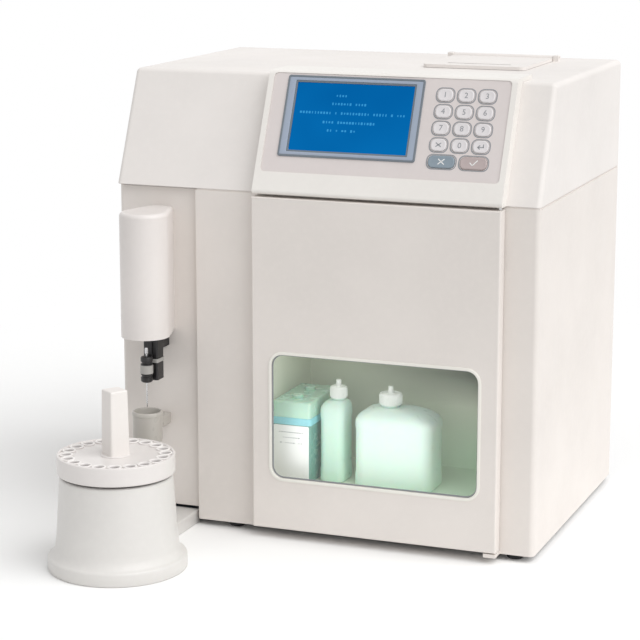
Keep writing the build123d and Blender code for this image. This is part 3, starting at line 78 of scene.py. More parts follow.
def add_object(name, data):
    """A new object in the scene."""
    made = bpy.data.objects.new(name, data)
    bpy.context.scene.collection.objects.link(made)
    return made


# Places taken from the frame

door_low, door_high = corners("front_door")
cover_low = corners("top_cover")[0]
SEAM_Z = cover_low.z
FRONT_Y = cover_low.y
SLOPE_RUN = 45.0
CONSOLE_H = 102.0
LEAN = atan2(SLOPE_RUN, CONSOLE_H)
DOOR_X = (door_low.x + door_high.x) / 2
PANEL_OUT = (FRONT_Y - door_low.y) * cos(LEAN)
OVERLAY_OUT = PANEL_OUT - 1.2
SLOPE = plane((0, FRONT_Y, SEAM_Z), (1, 0, 0), (0, sin(LEAN), cos(LEAN)))
FRONT = facing(door_low.y)
TABLE = Matrix.Identity(4)
REAR = plane((0, corners("rear_panel")[1].y, 0), (-1, 0, 0), (0, 0, 1))


# Camera

CAMERA_AT = Vector((676.89, -1807.91, 609.63))
CAMERA_YAW = radians(21.023)
CAMERA_DIP = radians(12.118)
FOCAL = 121.82


def set_camera():
    """The photograph's viewing angle, with its narrow field."""
    data = bpy.data.cameras.new("camera")
    data.lens = FOCAL
    data.sensor_width = 36.0
    data.clip_start = 0.01
    camera = add_object("camera", data)
    camera.location = CAMERA_AT * MM
    camera.rotation_euler = (pi / 2 - CAMERA_DIP, 0, CAMERA_YAW)
    bpy.context.scene.camera = camera


# Shader building


def is_socket(value):
    """True for a socket of a node, false for a plain value."""
    return isinstance(value, bpy.types.NodeSocket)


def shade(tree, kind, inputs=None, output=0, **settings):
    """Adds a node with its settings and with plain or linked inputs, and gives one of its outputs."""
    made = tree.nodes.new(kind)
    for key, value in settings.items():
        setattr(made, key, value)
    for key, value in (inputs or {}).items():
        if is_socket(value):
            tree.links.new(value, made.inputs[key])
        else:
            made.inputs[key].default_value = value
    return made.outputs[output]


def calc(operation, first, second):
    """A sum of two values, of which at least one is a socket."""
    tree = (first if is_socket(first) else second).id_data
    return shade(tree, "ShaderNodeMath", {0: first, 1: second}, operation=operation)


def feed(shader, name, socket):
    """Links a socket to one of a shader's inputs."""
    shader.id_data.links.new(socket, shader.inputs[name])


def object_place(material):
    """The Object coordinates in a material."""
    return shade(material.node_tree, "ShaderNodeTexCoord", output="Object")


def new_finish(name, colour, roughness, **sockets):
    """A material, its one Principled shader with its plain values, and its Object coordinates."""
    material = bpy.data.materials.new(name)
    material.use_nodes = True
    shader = material.node_tree.nodes["Principled BSDF"]
    shader.inputs["Base Color"].default_value = (*colour, 1)
    shader.inputs["Roughness"].default_value = roughness
    for key, value in sockets.items():
        shader.inputs[key.replace("_", " ")].default_value = value
    return material, shader, object_place(material)


def noise(where, size_mm, detail=2.0):
    """Noise with features of about that size."""
    inputs = {"Vector": where, "Scale": 1 / (size_mm * MM), "Detail": detail}
    return shade(where.id_data, "ShaderNodeTexNoise", inputs)


def stretched(where, scale):
    """Coordinates scaled by one factor for each axis."""
    return shade(where.id_data, "ShaderNodeMapping", {"Vector": where, "Scale": scale})


def along_axis(where, axis):
    """One of the three coordinates of a place."""
    return shade(where.id_data, "ShaderNodeSeparateXYZ", {"Vector": where}, axis)


def blend_colours(factor, first, second):
    """A colour between two, by a factor socket."""
    inputs = {0: factor}
    for index, colour in ((6, first), (7, second)):
        inputs[index] = colour if is_socket(colour) else (*colour, 1)
    return shade(factor.id_data, "ShaderNodeMix", inputs, 2, data_type="RGBA")


def spread(value, low, high, start=0.3, stop=0.7):
    """A value taken from one range to another."""
    inputs = {"Value": value, "From Min": start, "From Max": stop, "To Min": low, "To Max": high}
    return shade(value.id_data, "ShaderNodeMapRange", inputs)


def shaded(colour, share):
    """A colour times a share of itself."""
    return tuple(c * share for c in colour)


def add_bump(shader, height, strength, depth_mm):
    """Bump from a height socket on a shader."""
    inputs = {"Height": height, "Strength": strength, "Distance": depth_mm * MM}
    feed(shader, "Normal", shade(shader.id_data, "ShaderNodeBump", inputs))


def moulded_plastic(name, colour, roughness=0.5, grain_mm=0.45, bump=0.12):
    """Moulded plastic: a fine spark-eroded grain, faint flow clouds in its colour, and an uneven sheen."""
    material, shader, where = new_finish(name, colour, roughness)
    clouds = spread(noise(where, 90.0, 3.0), 0, 1)
    specks = spread(noise(where, 6.0, 4.0), 0, 0.35, 0.45, 0.8)
    clouded = blend_colours(clouds, shaded(colour, 0.94), colour)
    feed(shader, "Base Color", blend_colours(specks, clouded, shaded(colour, 1.03)))
    feed(shader, "Roughness", spread(noise(where, 25.0), roughness - 0.06, roughness + 0.07))
    add_bump(shader, noise(where, grain_mm, 3.0), bump, 0.05)
    return material


def glossy_plastic(name, colour, roughness, **sockets):
    """Polished plastic: slow waves in its surface and small patches in its gloss."""
    material, shader, where = new_finish(name, colour, roughness, **sockets)
    marks = noise(where, 9.0, 6.0)
    feed(shader, "Roughness", spread(marks, roughness - 0.03, roughness + 0.08, 0.4, 0.75))
    patches = spread(noise(where, 40.0), 0, 1)
    feed(shader, "Base Color", blend_colours(patches, shaded(colour, 0.95), colour))
    add_bump(shader, noise(where, 16.0, 1.0), 0.02, 0.05)
    return material


def liner_plastic(name, colour, dark, green):
    """Moulded liner: olive grey, darker to the upper right with painted shade, and green at the lower right
    with painted light through a bottle.
    """
    material = moulded_plastic(name, colour)
    shader = material.node_tree.nodes["Principled BSDF"]
    where = object_place(material)
    height = along_axis(where, "Z")
    right = spread(along_axis(where, "X"), 0, 1, -20 * MM, 120 * MM)
    # Painted shade: the upper right corner of the compartment falls to the dark colour.
    corner = calc("MULTIPLY", spread(height, 0, 1, 106 * MM, 136 * MM), right)
    # Painted light: the lower right takes the green of light through the bottle beside it.
    wash = calc("MULTIPLY", spread(height, 1, 0, 60 * MM, 110 * MM), right)
    own = shader.inputs["Base Color"].links[0].from_socket
    feed(shader, "Base Color", blend_colours(wash, blend_colours(corner, own, dark), green))
    return material


def cup_plastic(name, rim, inside):
    """A sample cup: pale at its rim, darker down its inside with painted shade."""
    material, shader, where = new_finish(name, rim, 0.3)
    # Painted shade: below the rim the cup's colour falls to the dark inside colour.
    depth = spread(along_axis(where, "Z"), 0, 1, 99.5 * MM, 101.6 * MM)
    feed(shader, "Base Color", blend_colours(depth, inside, rim))
    add_bump(shader, noise(where, 0.8), 0.03, 0.05)
    return material


def worn_metal(name, colour, roughness):
    """Metal with a drawn grain and a patchy polish."""
    material, shader, where = new_finish(name, colour, roughness, Metallic=1.0)
    lines = noise(stretched(where, (1.0, 1.0, 60.0)), 30.0, 5.0)
    feed(shader, "Roughness", spread(lines, roughness - 0.08, roughness + 0.12))
    patches = spread(noise(where, 18.0, 3.0), 0, 1)
    feed(shader, "Base Color", blend_colours(patches, shaded(colour, 0.86), colour))
    add_bump(shader, lines, 0.06, 0.05)
    return material


def zinc_sheet(name, colour):
    """Plated sheet steel, with the crystal patches of its plating."""
    material, shader, where = new_finish(name, colour, 0.38, Metallic=0.9)
    inputs = {"Vector": where, "Scale": 1 / (9 * MM)}
    cells = shade(where.id_data, "ShaderNodeTexVoronoi", inputs, "Color")
    patch = shade(where.id_data, "ShaderNodeSeparateColor", {"Color": cells})
    feed(shader, "Base Color", blend_colours(spread(patch, 0, 1, 0, 1), shaded(colour, 0.92), colour))
    feed(shader, "Roughness", spread(patch, 0.38, 0.48, 0, 1))
    add_bump(shader, noise(where, 1.2, 3.0), 0.08, 0.05)
    return material


def translucent_bottle(name, upper, lower, split_mm, fade_mm):
    """Blown polyethylene: milky, with its liquid showing through below the fill line."""
    material, shader, where = new_finish(name, upper, 0.32, Subsurface_Weight=0.25, Subsurface_Scale=0.006)
    line = calc("ADD", along_axis(where, "Z"), spread(noise(where, 22.0), -2 * MM, 2 * MM))
    fill = spread(line, 0, 1, (split_mm - fade_mm) * MM, (split_mm + fade_mm) * MM)
    feed(shader, "Base Color", blend_colours(fill, lower, upper))
    feed(shader, "Roughness", spread(noise(where, 7.0, 3.0), 0.26, 0.42))
    add_bump(shader, noise(where, 5.0), 0.12, 0.2)
    return material


def circuit_board(name, colour):
    """Solder mask over tracks: a raised pattern of cells with bright pads."""
    material, shader, where = new_finish(name, colour, 0.3)
    inputs = {"Vector": where, "Scale": 1 / (4 * MM)}
    cells = shade(where.id_data, "ShaderNodeTexVoronoi", inputs, distance="CHEBYCHEV")
    tracks = spread(cells, 0, 1, 0.3, 0.36)
    feed(shader, "Base Color", blend_colours(tracks, shaded(colour, 1.5), colour))
    add_bump(shader, tracks, 0.2, 0.05)
    return material


def lit_screen(name, colour, edge):
    """A lit field that is a little uneven, with the fine grid of its dots."""
    unlit = shaded(colour, 0.06)
    material, shader, where = new_finish(name, unlit, 0.35, Specular_IOR_Level=0.0, Emission_Strength=1.0)
    feed(shader, "Emission Color", blend_colours(spread(noise(where, 60.0, 1.0), 0, 1), edge, colour))
    inputs = {"Vector": where, "Scale": 1 / (0.9 * MM)}
    add_bump(shader, shade(where.id_data, "ShaderNodeTexChecker", inputs, "Fac"), 0.02, 0.02)
    return material


def paper_finish(name, colour):
    """Paper, with its fibres in its colour and its surface."""
    material, shader, where = new_finish(name, colour, 0.75)
    fibres = noise(where, 0.8, 5.0)
    feed(shader, "Base Color", blend_colours(spread(fibres, 0, 1), shaded(colour, 0.93), colour))
    add_bump(shader, fibres, 0.15, 0.05)
    return material


def clear_sheet(name, colour, alpha):
    """A clear acrylic sheet, with a faint tint and a few wiping marks."""
    material, shader, where = new_finish(name, colour, 0.06, Alpha=alpha, IOR=1.49)
    wipes = noise(stretched(where, (1.0, 1.0, 5.0)), 30.0, 4.0)
    feed(shader, "Roughness", spread(wipes, 0.03, 0.14))
    return material


# Moulded finishes: material, colour, then roughness, grain in millimetres and bump where they differ
MOULDED = {
    "housing": ("housing_plastic", (0.81, 0.76, 0.72)),
    "cover": ("cover_plastic", (0.84, 0.80, 0.77)),
    "bands": ("band_plastic", (0.87, 0.84, 0.80), 0.42, 0.6, 0.08),
    "overlay": ("overlay_film", (0.74, 0.68, 0.665), 0.4, 0.25, 0.06),
    "drum": ("drum_plastic", (0.72, 0.70, 0.675), 0.36, 0.6, 0.06),
    "tray": ("tray_plastic", (0.765, 0.73, 0.71), 0.34, 0.6, 0.05),
    "hood": ("hood_plastic", (0.79, 0.745, 0.72), 0.34, 0.6, 0.05),
    "bezel_dark": ("bezel_edge", (0.17, 0.20, 0.23), 0.4, 0.3, 0.08),
    "bezel_light": ("bezel_band", (0.36, 0.42, 0.52), 0.32, 0.3, 0.08),
    "key": ("key_grey", (0.78, 0.75, 0.76), 0.42, 0.3, 0.06),
    "key_blue": ("key_slate", (0.26, 0.32, 0.37), 0.42, 0.3, 0.06),
    "key_brown": ("key_brown", (0.50, 0.42, 0.41), 0.42, 0.3, 0.06),
    "print": ("print_grey", (0.30, 0.31, 0.33), 0.5, 0.3, 0.02),
    "print_light": ("print_light", (0.86, 0.86, 0.85), 0.5, 0.3, 0.02),
    "rim": ("rim_plastic", (0.88, 0.86, 0.80), 0.36, 0.6, 0.05),
    "cap": ("cap_plastic", (0.93, 0.96, 0.92), 0.38, 0.8, 0.05),
    "cyan": ("pack_band", (0.30, 0.70, 0.78), 0.4, 0.4, 0.04),
    "black": ("black_plastic", (0.018, 0.017, 0.018), 0.38, 0.5, 0.15),
    "grey": ("grey_plastic", (0.42, 0.41, 0.39), 0.42),
    "cup_grey": ("wash_cup_plastic", (0.50, 0.475, 0.435), 0.3, 0.6, 0.05),
    "rubber": ("rubber", (0.022, 0.022, 0.024), 0.75, 0.4, 0.25),
}
FINISH = {key: moulded_plastic(*given) for key, given in MOULDED.items()}
FINISH.update({
    "screen": lit_screen("screen_blue", (0.0015, 0.142, 0.425), (0.0005, 0.108, 0.35)),
    "marks": lit_screen("screen_marks", (0.045, 0.33, 0.66), (0.03, 0.28, 0.60)),
    "pane": clear_sheet("window_acrylic", (0.80, 0.88, 0.82), 0.06),
    # The liner's last two colours are painted shade for its upper right corner and painted green light from
    # the bottle.
    "liner": liner_plastic("liner_plastic", (0.86, 0.88, 0.75), (0.10, 0.11, 0.08), (0.74, 0.92, 0.73)),
    "large_bottle": translucent_bottle(
        "large_bottle_plastic", (0.74, 0.90, 0.82), (0.72, 0.92, 0.79), 78, 22),
    "small_bottle": translucent_bottle(
        "small_bottle_plastic", (0.68, 0.88, 0.78), (0.62, 0.86, 0.72), 92, 12),
    # The case's dark teal is partly its own colour and partly painted shade, matched to its shaded right side
    # and the gap beside it.
    "pack": glossy_plastic(
        "pack_case", (0.16, 0.36, 0.31), 0.25, Subsurface_Weight=0.15, Subsurface_Scale=0.004),
    "pack_top": glossy_plastic(
        "pack_top", (0.56, 0.82, 0.68), 0.25, Subsurface_Weight=0.3, Subsurface_Scale=0.004),
    "pack_label": paper_finish("pack_label", (0.96, 0.97, 0.95)),
    # The cup's second colour is painted shade down its inside.
    "sample": cup_plastic("sample_cup_plastic", (0.88, 0.85, 0.83), (0.34, 0.30, 0.30)),
    "steel": worn_metal("steel", (0.66, 0.66, 0.67), 0.26),
    "zinc": zinc_sheet("zinc_sheet", (0.56, 0.555, 0.55)),
    "tube": glossy_plastic(
        "silicone_tube", (0.82, 0.79, 0.72), 0.3, Subsurface_Weight=0.3, Subsurface_Scale=0.002),
    "board": circuit_board("circuit_green", (0.03, 0.17, 0.08)),
    "paper": paper_finish("thermal_paper", (0.90, 0.90, 0.88)),
    "amber": glossy_plastic("electrode_amber", (0.70, 0.52, 0.22), 0.22),
})


# Mesh building


def finished(name, mesh, finish, node=None, body="body", smooth=40):
    """An object from a mesh in millimetres, with its body. It stands for its node, if it has one."""
    mesh.transform(Matrix.Scale(MM, 4))
    mesh.materials.clear()
    mesh.materials.append(FINISH[finish])
    if smooth:
        mesh.shade_smooth()
        mesh.set_sharp_from_angle(angle=radians(smooth))
    piece = add_object(name, mesh)
    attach(piece, body_of_node[node] if node else body)
    if node:
        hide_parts(node)


def mesh_of(bm, name):
    """A mesh from an edit mesh, which is then freed."""
    mesh = bpy.data.meshes.new(name)
    bm.to_mesh(mesh)
    bm.free()
    return mesh


def lofted(rings, closed=False):
    """A mesh through rings of equal point counts, capped at both ends, or closed from last to first."""
    bm = bmesh.new()
    rows = [[bm.verts.new(p) for p in ring] for ring in rings]
    pairs = list(zip(rows, rows[1:]))
    if closed:
        pairs.append((rows[-1], rows[0]))
    for lower, upper in pairs:
        for i in range(len(lower)):
            j = (i + 1) % len(lower)
            bm.faces.new((lower[i], lower[j], upper[j], upper[i]))
    if not closed:
        bm.faces.new(reversed(rows[0]))
        bm.faces.new(rows[-1])
    bmesh.ops.recalc_face_normals(bm, faces=bm.faces)
    return mesh_of(bm, "loft")


def joined(meshes):
    """Several meshes as one."""
    bm = bmesh.new()
    for mesh in meshes:
        bm.from_mesh(mesh)
    return mesh_of(bm, "joined")


def rounded_rectangle(width, height, radius, steps=6):
    """Points of a rounded rectangle about its middle."""
    points = []
    for sx, sy, start in ((1, 1, 0.0), (-1, 1, 90.0), (-1, -1, 180.0), (1, -1, 270.0)):
        for i in range(steps + 1):
            a = radians(start + 90.0 * i / steps)
            x = sx * (width / 2 - radius) + radius * cos(a)
            points.append((x, sy * (height / 2 - radius) + radius * sin(a)))
    return points


def eased_side(depth, low_ease, high_ease, steps=4):
    """Pairs of inset and height up a slab's side, with both its edges rounded."""
    quarter = [pi / 2 * i / steps for i in range(steps + 1)]
    rise = [(low_ease * (1 - sin(a)), low_ease * (1 - cos(a))) for a in quarter]
    fall = [(high_ease * (1 - cos(a)), depth - high_ease * (1 - sin(a))) for a in quarter]
    return rise + fall


def grown(size, by, by_height=None):
    """A size with both its measures grown, by the same amount unless two are given."""
    return size[0] + by, size[1] + (by if by_height is None else by_height)


def level(size, radius, place, at, height, steps=6):
    """The points of a rounded rectangle over a working plane."""
    outline = rounded_rectangle(*size, radius, steps)
    return [place @ Vector((at[0] + x, at[1] + y, height)) for x, y in outline]


def slab(size, radius, depth, place, at=(0, 0), base=0.0, low_ease=0.3, high_ease=0.6, steps=6):
    """A rounded rectangular slab with eased edges, standing on a working plane."""
    rings = []
    for inset, rise in eased_side(depth, low_ease, high_ease):
        rings.append(level(grown(size, -2 * inset), max(radius - inset, 0.05), place, at, base + rise, steps))
    return lofted(rings)


def rim_frame(outer, inner, outer_r, inner_r, depth, place, at=(0, 0), base=0.0, ease=0.4):
    """A frame between two rounded rectangles, with its upper edges eased."""
    quarter = [pi / 2 * i / 3 for i in range(4)]
    sides = [(0.0, 0.0)] + [(ease * (1 - cos(a)), depth - ease * (1 - sin(a))) for a in quarter]
    rings = [level(grown(outer, -2 * inset), outer_r, place, at, base + rise) for inset, rise in sides]
    for inset, rise in reversed(sides):
        rings.append(level(grown(inner, 2 * inset), inner_r, place, at, base + rise))
    return lofted(rings, closed=True)


def circle(radius, steps):
    """Points of a circle."""
    return [(radius * cos(tau * i / steps), radius * sin(tau * i / steps)) for i in range(steps)]


def turned(profile, place, steps=64):
    """A turned shape about the plane's Z, from pairs of radius and height. A zero radius is a pole."""
    bm = bmesh.new()
    rows = []
    for radius, height in profile:
        spots = circle(radius, steps) if radius else [(0, 0)]
        rows.append([bm.verts.new(place @ Vector((x, y, height))) for x, y in spots])
    for lower, upper in zip(rows, rows[1:]):
        for i in range(steps):
            j = (i + 1) % steps
            quad = [row[k % len(row)] for row, k in ((lower, i), (lower, j), (upper, j), (upper, i))]
            kept = [v for k, v in enumerate(quad) if v not in quad[:k]]
            if len(kept) > 2:
                bm.faces.new(kept)
    bmesh.ops.recalc_face_normals(bm, faces=bm.faces)
    return mesh_of(bm, "turned")


def closed_ring(section, place, steps=64):
    """A turned ring whose section is a closed loop of radius and height."""
    rings = [[place @ Vector((r * x, r * y, h)) for r, h in section] for x, y in circle(1, steps)]
    return lofted(rings, closed=True)


def curve_mesh(curve):
    """The mesh of a filled curve."""
    holder = bpy.data.objects.new("curve", curve)
    mesh = bpy.data.meshes.new_from_object(holder)
    bpy.data.objects.remove(holder)
    return mesh


def shown_mesh(holder):
    """The mesh of an object with its modifiers applied. The object is removed."""
    seen = holder.evaluated_get(bpy.context.evaluated_depsgraph_get())
    mesh = bpy.data.meshes.new_from_object(seen)
    bpy.data.objects.remove(holder)
    return mesh


def letters(text, size, depth, place, at):
    """A number or a mark as a thin raised print, centred on its place."""
    curve = bpy.data.curves.new("letters", "FONT")
    curve.body = text
    curve.size = size
    curve.extrude = depth / 2
    curve.align_x = "CENTER"
    curve.align_y = "CENTER"
    mesh = curve_mesh(curve)
    mesh.transform(place @ Matrix.Translation((at[0], at[1], at[2] + depth / 2)))
    return mesh


def softened(name, ease, finish, segments=2):
    """A copy of a CAD node with its flat faces merged and its edges eased, which stands for it."""
    bm = bmesh.new()
    bm.from_mesh(nodes[name].data)
    bmesh.ops.scale(bm, vec=(1 / MM,) * 3, verts=bm.verts)
    bmesh.ops.remove_doubles(bm, verts=bm.verts, dist=0.001)
    bmesh.ops.dissolve_limit(bm, angle_limit=radians(0.5), verts=bm.verts, edges=bm.edges)
    bmesh.ops.triangulate(bm, faces=bm.faces, quad_method="BEAUTY", ngon_method="BEAUTY")
    mesh = mesh_of(bm, name + "_soft")
    mesh.shade_smooth()
    holder = add_object("soften", mesh)
    bevel = holder.modifiers.new("ease", "BEVEL")
    bevel.width = ease
    bevel.segments = segments
    bevel.limit_method = "ANGLE"
    bevel.angle_limit = radians(35)
    bevel.use_clamp_overlap = True
    bevel.miter_outer = "MITER_ARC"
    weighted = holder.modifiers.new("flat faces", "WEIGHTED_NORMAL")
    weighted.mode = "FACE_AREA"
    weighted.weight = 100
    finished(name + "_shell", shown_mesh(holder), finish, name, smooth=None)


# Geometry trees for what repeats


def geometry_tree(name, inputs):
    """A geometry tree with its piece, its named sizes and its finish as inputs, and the sockets of these."""
    tree = bpy.data.node_groups.new(name, "GeometryNodeTree")
    tree.interface.new_socket("Piece", in_out="INPUT", socket_type="NodeSocketGeometry")
    for label, kind, value in inputs:
        socket = tree.interface.new_socket(label, in_out="INPUT", socket_type="NodeSocket" + kind)
        socket.default_value = value
    tree.interface.new_socket("Finish", in_out="INPUT", socket_type="NodeSocketMaterial")
    tree.interface.new_socket("Pieces", in_out="OUTPUT", socket_type="NodeSocketGeometry")
    return tree, tree.nodes.new("NodeGroupInput").outputs


def end_tree(tree, given, points, piece, **inputs):
    """Sets the piece on the points, makes the copies one mesh in its finish, and ends the tree."""
    inputs = {"Points": points, "Instance": piece, **inputs}
    copies = shade(tree, "GeometryNodeInstanceOnPoints", inputs)
    whole = shade(tree, "GeometryNodeRealizeInstances", {"Geometry": copies})
    inputs = {"Geometry": whole, "Material": given["Finish"]}
    done = shade(tree, "GeometryNodeSetMaterial", inputs)
    tree.links.new(done, tree.nodes.new("NodeGroupOutput").inputs["Pieces"])
    return tree


def build_ring_tree():
    """Repeats a piece around a ring, each copy turned with its place."""
    sizes = (("Count", "Int", 8), ("Radius", "Float", 10.0), ("Phase", "Float", 0.0))
    tree, given = geometry_tree("around_a_ring", sizes)
    shift = shade(tree, "ShaderNodeCombineXYZ", {"X": given["Radius"]})
    out = shade(tree, "GeometryNodeTransform", {"Geometry": given["Piece"], "Translation": shift})
    index = shade(tree, "GeometryNodeInputIndex")
    step = calc("DIVIDE", tau, given["Count"])
    turn = calc("ADD", calc("MULTIPLY", index, step), given["Phase"])
    around = shade(tree, "ShaderNodeCombineXYZ", {"Z": turn})
    rotation = shade(tree, "FunctionNodeEulerToRotation", {0: around})
    points = shade(tree, "GeometryNodePoints", {"Count": given["Count"]})
    return end_tree(tree, given, points, out, Rotation=rotation)


def centred(index, count, pitch):
    """The place of a copy in a row about its middle."""
    return calc("MULTIPLY", calc("SUBTRACT", index, calc("DIVIDE", calc("SUBTRACT", count, 1.0), 2.0)), pitch)


def build_grid_tree():
    """Repeats a piece on a grid about its middle."""
    counts = (("Columns", "Int", 3), ("Rows", "Int", 1))
    pitches = (("Pitch X", "Float", 10.0), ("Pitch Y", "Float", 10.0))
    tree, given = geometry_tree("on_a_grid", counts + pitches)
    index = shade(tree, "GeometryNodeInputIndex")
    columns, rows = given["Columns"], given["Rows"]
    x = centred(calc("MODULO", index, columns), columns, given["Pitch X"])
    y = centred(calc("FLOOR", calc("DIVIDE", index, columns), 0.0), rows, given["Pitch Y"])
    spot = shade(tree, "ShaderNodeCombineXYZ", {"X": x, "Y": y})
    points = shade(tree, "GeometryNodePoints", {"Count": calc("MULTIPLY", columns, rows), "Position": spot})
    return end_tree(tree, given, points, given["Piece"])


def build_print_tree():
    """A line of small marks of uneven width, with gaps between its words."""
    sizes = (("Count", "Int", 12), ("Pitch", "Float", 2.6), ("Gap Share", "Float", 0.2), ("Seed", "Int", 1))
    tree, given = geometry_tree("line_of_marks", sizes)
    index = shade(tree, "GeometryNodeInputIndex")
    x = centred(index, given["Count"], given["Pitch"])
    spot = shade(tree, "ShaderNodeCombineXYZ", {"X": x})
    points = shade(tree, "GeometryNodePoints", {"Count": given["Count"], "Position": spot})
    chance = shade(tree, "FunctionNodeRandomValue", {"Seed": given["Seed"]}, 1, data_type="FLOAT")
    gap = shade(tree, "FunctionNodeCompare", {0: chance, 1: given["Gap Share"]}, operation="LESS_THAN")
    inputs = {"Geometry": points, "Selection": gap}
    kept = shade(tree, "GeometryNodeDeleteGeometry", inputs)
    inputs = {"Min": (0.45, 0.6, 1.0), "Max": (1.0, 1.0, 1.0), "Seed": calc("ADD", given["Seed"], 7.0)}
    scale = shade(tree, "FunctionNodeRandomValue", inputs, data_type="FLOAT_VECTOR")
    return end_tree(tree, given, kept, given["Piece"], Scale=scale)


RING = build_ring_tree()
GRID = build_grid_tree()
PRINT = build_print_tree()


def repeated(template, tree, sizes, place, finish):
    """One plain mesh from a piece that a tree repeats, set on its working plane."""
    holder = add_object("repeat", template)
    modifier = holder.modifiers.new("repeat", "NODES")
    modifier.node_group = tree
    labels = {item.name: item.identifier for item in tree.interface.items_tree if item.in_out == "INPUT"}
    for label, value in {**sizes, "Finish": FINISH[finish]}.items():
        modifier[labels[label]] = value
    mesh = shown_mesh(holder)
    mesh.transform(place)
    return mesh


# Shells

SHELLS = (
    ("lower_housing", 0.9, "housing"), ("top_cover", 0.9, "cover"), ("front_door", 0.8, "housing"),
    ("display_panel", 0.8, "bands"), ("sampler_hood", 0.8, "hood"), ("printer_lid", 0.6, "cover"),
    ("compartment_liner", 0.5, "liner"), ("feet", 0.6, "rubber"), ("sensor_block", 0.4, "grey"),
    ("pump_body", 0.5, "black"), ("fan_housing", 0.5, "black"), ("power_inlet", 0.3, "black"),
    ("power_switch", 0.3, "black"), ("power_supply", 0.6, "zinc"),
)


def make_shells():
    """The shells and housings, with the soft edges of real ones."""
    for name, ease, finish in SHELLS:
        softened(name, ease, finish)


# Window

WINDOW = (194.0, 115.0)
WINDOW_AT = (55.0, 115.5)
WINDOW_CORNER = 11.0


def make_window_rim():
    """A light moulded bead round the window, and a darker seal inside it."""
    radii = (WINDOW_CORNER + 2.5, WINDOW_CORNER - 0.2)
    bead = rim_frame(grown(WINDOW, 5), grown(WINDOW, -0.4), *radii, 1.2, FRONT, WINDOW_AT, -0.4, 0.55)
    finished("window_bead", bead, "rim", body="door")
    radii = (WINDOW_CORNER - 0.1, WINDOW_CORNER - 1.3)
    seal = rim_frame(grown(WINDOW, -0.2), grown(WINDOW, -2.6), *radii, 0.8, FRONT, WINDOW_AT, -2.9, 0.3)
    finished("window_seal", seal, "print", body="door")


# Console: film, screen and keypad

LCD = (110.0, 63.0)
LCD_AT = (22.5, 68.5)
KEY = (14.0, 11.0)
WIDE_KEY = (24.0, 11.0)
KEY_PITCH = (19.0, 15.0)
KEY_AT = (125.0, 33.0)
KEY_CORNER = 4.5
WIDE_PITCH = 29.0
FILM = (219.6, 91.6)
FILM_MIDDLE = 62.0
FILM_T = 0.3
FILM_TOP = OVERLAY_OUT + FILM_T
KEYPAD = (("1", "2", "3"), ("4", "5", "6"), ("7", "8", "9"), ("clear", "0", "enter"))
KEY_RINGS = (
    ("key_rings", KEY, (3, 4), KEY_PITCH, 2.5 * KEY_PITCH[1]),
    ("wide_key_rings", WIDE_KEY, (2, 1), (WIDE_PITCH, 1.0), 0.0),
)
GLASS_BACK = 3.0
GLASS_T = 9.3
SCREEN_LINES = (
    (20.0, -12.0, 4, 3), (12.5, -4.0, 12, 11), (4.0, 0.0, 36, 5), (-4.5, -2.0, 18, 23), (-12.0, -8.0, 10, 31),
)
THIN = {"low_ease": 0.01, "high_ease": 0.02, "steps": 2}


def key_places():
    """Each key's node, mark, middle and size."""
    places = []
    for row, names in enumerate(KEYPAD):
        for column, mark in enumerate(names):
            at = (KEY_AT[0] + (column - 1) * KEY_PITCH[0], KEY_AT[1] + (4 - row) * KEY_PITCH[1])
            places.append(("key_" + mark, mark, at, KEY))
    for side, mark in ((-1, "no"), (1, "yes")):
        places.append(("key_" + mark, mark, (KEY_AT[0] + side * WIDE_PITCH / 2, KEY_AT[1]), WIDE_KEY))
    return places


def cut_sheet(outlines, depth, place, base):
    """A thin sheet with holes: the first outline is its edge and the others are cut out."""
    curve = bpy.data.curves.new("sheet", "CURVE")
    curve.dimensions = "2D"
    curve.fill_mode = "BOTH"
    curve.extrude = depth / 2
    for outline in outlines:
        spline = curve.splines.new("POLY")
        spline.points.add(len(outline) - 1)
        for point, (x, y) in zip(spline.points, outline):
            point.co = (x, y, 0, 1)
        spline.use_cyclic_u = True
    bm = bmesh.new()
    bm.from_mesh(curve_mesh(curve))
    bmesh.ops.remove_doubles(bm, verts=bm.verts, dist=0.001)
    bmesh.ops.recalc_face_normals(bm, faces=bm.faces)
    mesh = mesh_of(bm, "sheet")
    mesh.transform(place @ Matrix.Translation((0, 0, base + depth / 2)))
    return mesh


def moved(outline, at):
    """An outline about another middle."""
    return [(x + at[0], y + at[1]) for x, y in outline]


def make_film():
    """The film in the console's recess, with openings for the screen and the keys, and the keys' rings."""
    film = moved(rounded_rectangle(*FILM, 3.8), (DOOR_X, FILM_MIDDLE))
    cuts = [moved(rounded_rectangle(*grown(LCD, 4), 1.0), LCD_AT)]
    for _, _, at, size in key_places():
        cuts.append(moved(rounded_rectangle(*grown(size, 0.8), KEY_CORNER + 0.4), at))
    sheet = cut_sheet([film, *cuts], FILM_T, SLOPE, OVERLAY_OUT + 0.02)
    finished("console_film", sheet, "overlay")
    for name, size, (columns, rows), pitch, up in KEY_RINGS:
        ring = rim_frame(grown(size, 3.6, 3.0), grown(size, 1.6, 1.2), 5.6, 4.9, 0.12, TABLE, ease=0.04)
        sizes = {"Columns": columns, "Rows": rows, "Pitch X": pitch[0], "Pitch Y": pitch[1]}
        place = SLOPE @ Matrix.Translation((KEY_AT[0], KEY_AT[1] + up, FILM_TOP))
        finished(name, repeated(ring, GRID, sizes, place, "print"), "print")


def dished_key(size, at, foot, top):
    """An oval key cap with rounded shoulders and a shallow dish for the finger."""
    levels = [(0.0, foot), (0.0, top - 0.9), (0.12, top - 0.45), (0.4, top - 0.15), (0.85, top)]
    levels += [(1.5, top - 0.08), (2.4, top - 0.2), (3.4, top - 0.28), (4.2, top - 0.3)]
    rings = []
    for inset, height in levels:
        rings.append(level(grown(size, -2 * inset), max(KEY_CORNER - inset, 0.3), SLOPE, at, height))
    return lofted(rings)


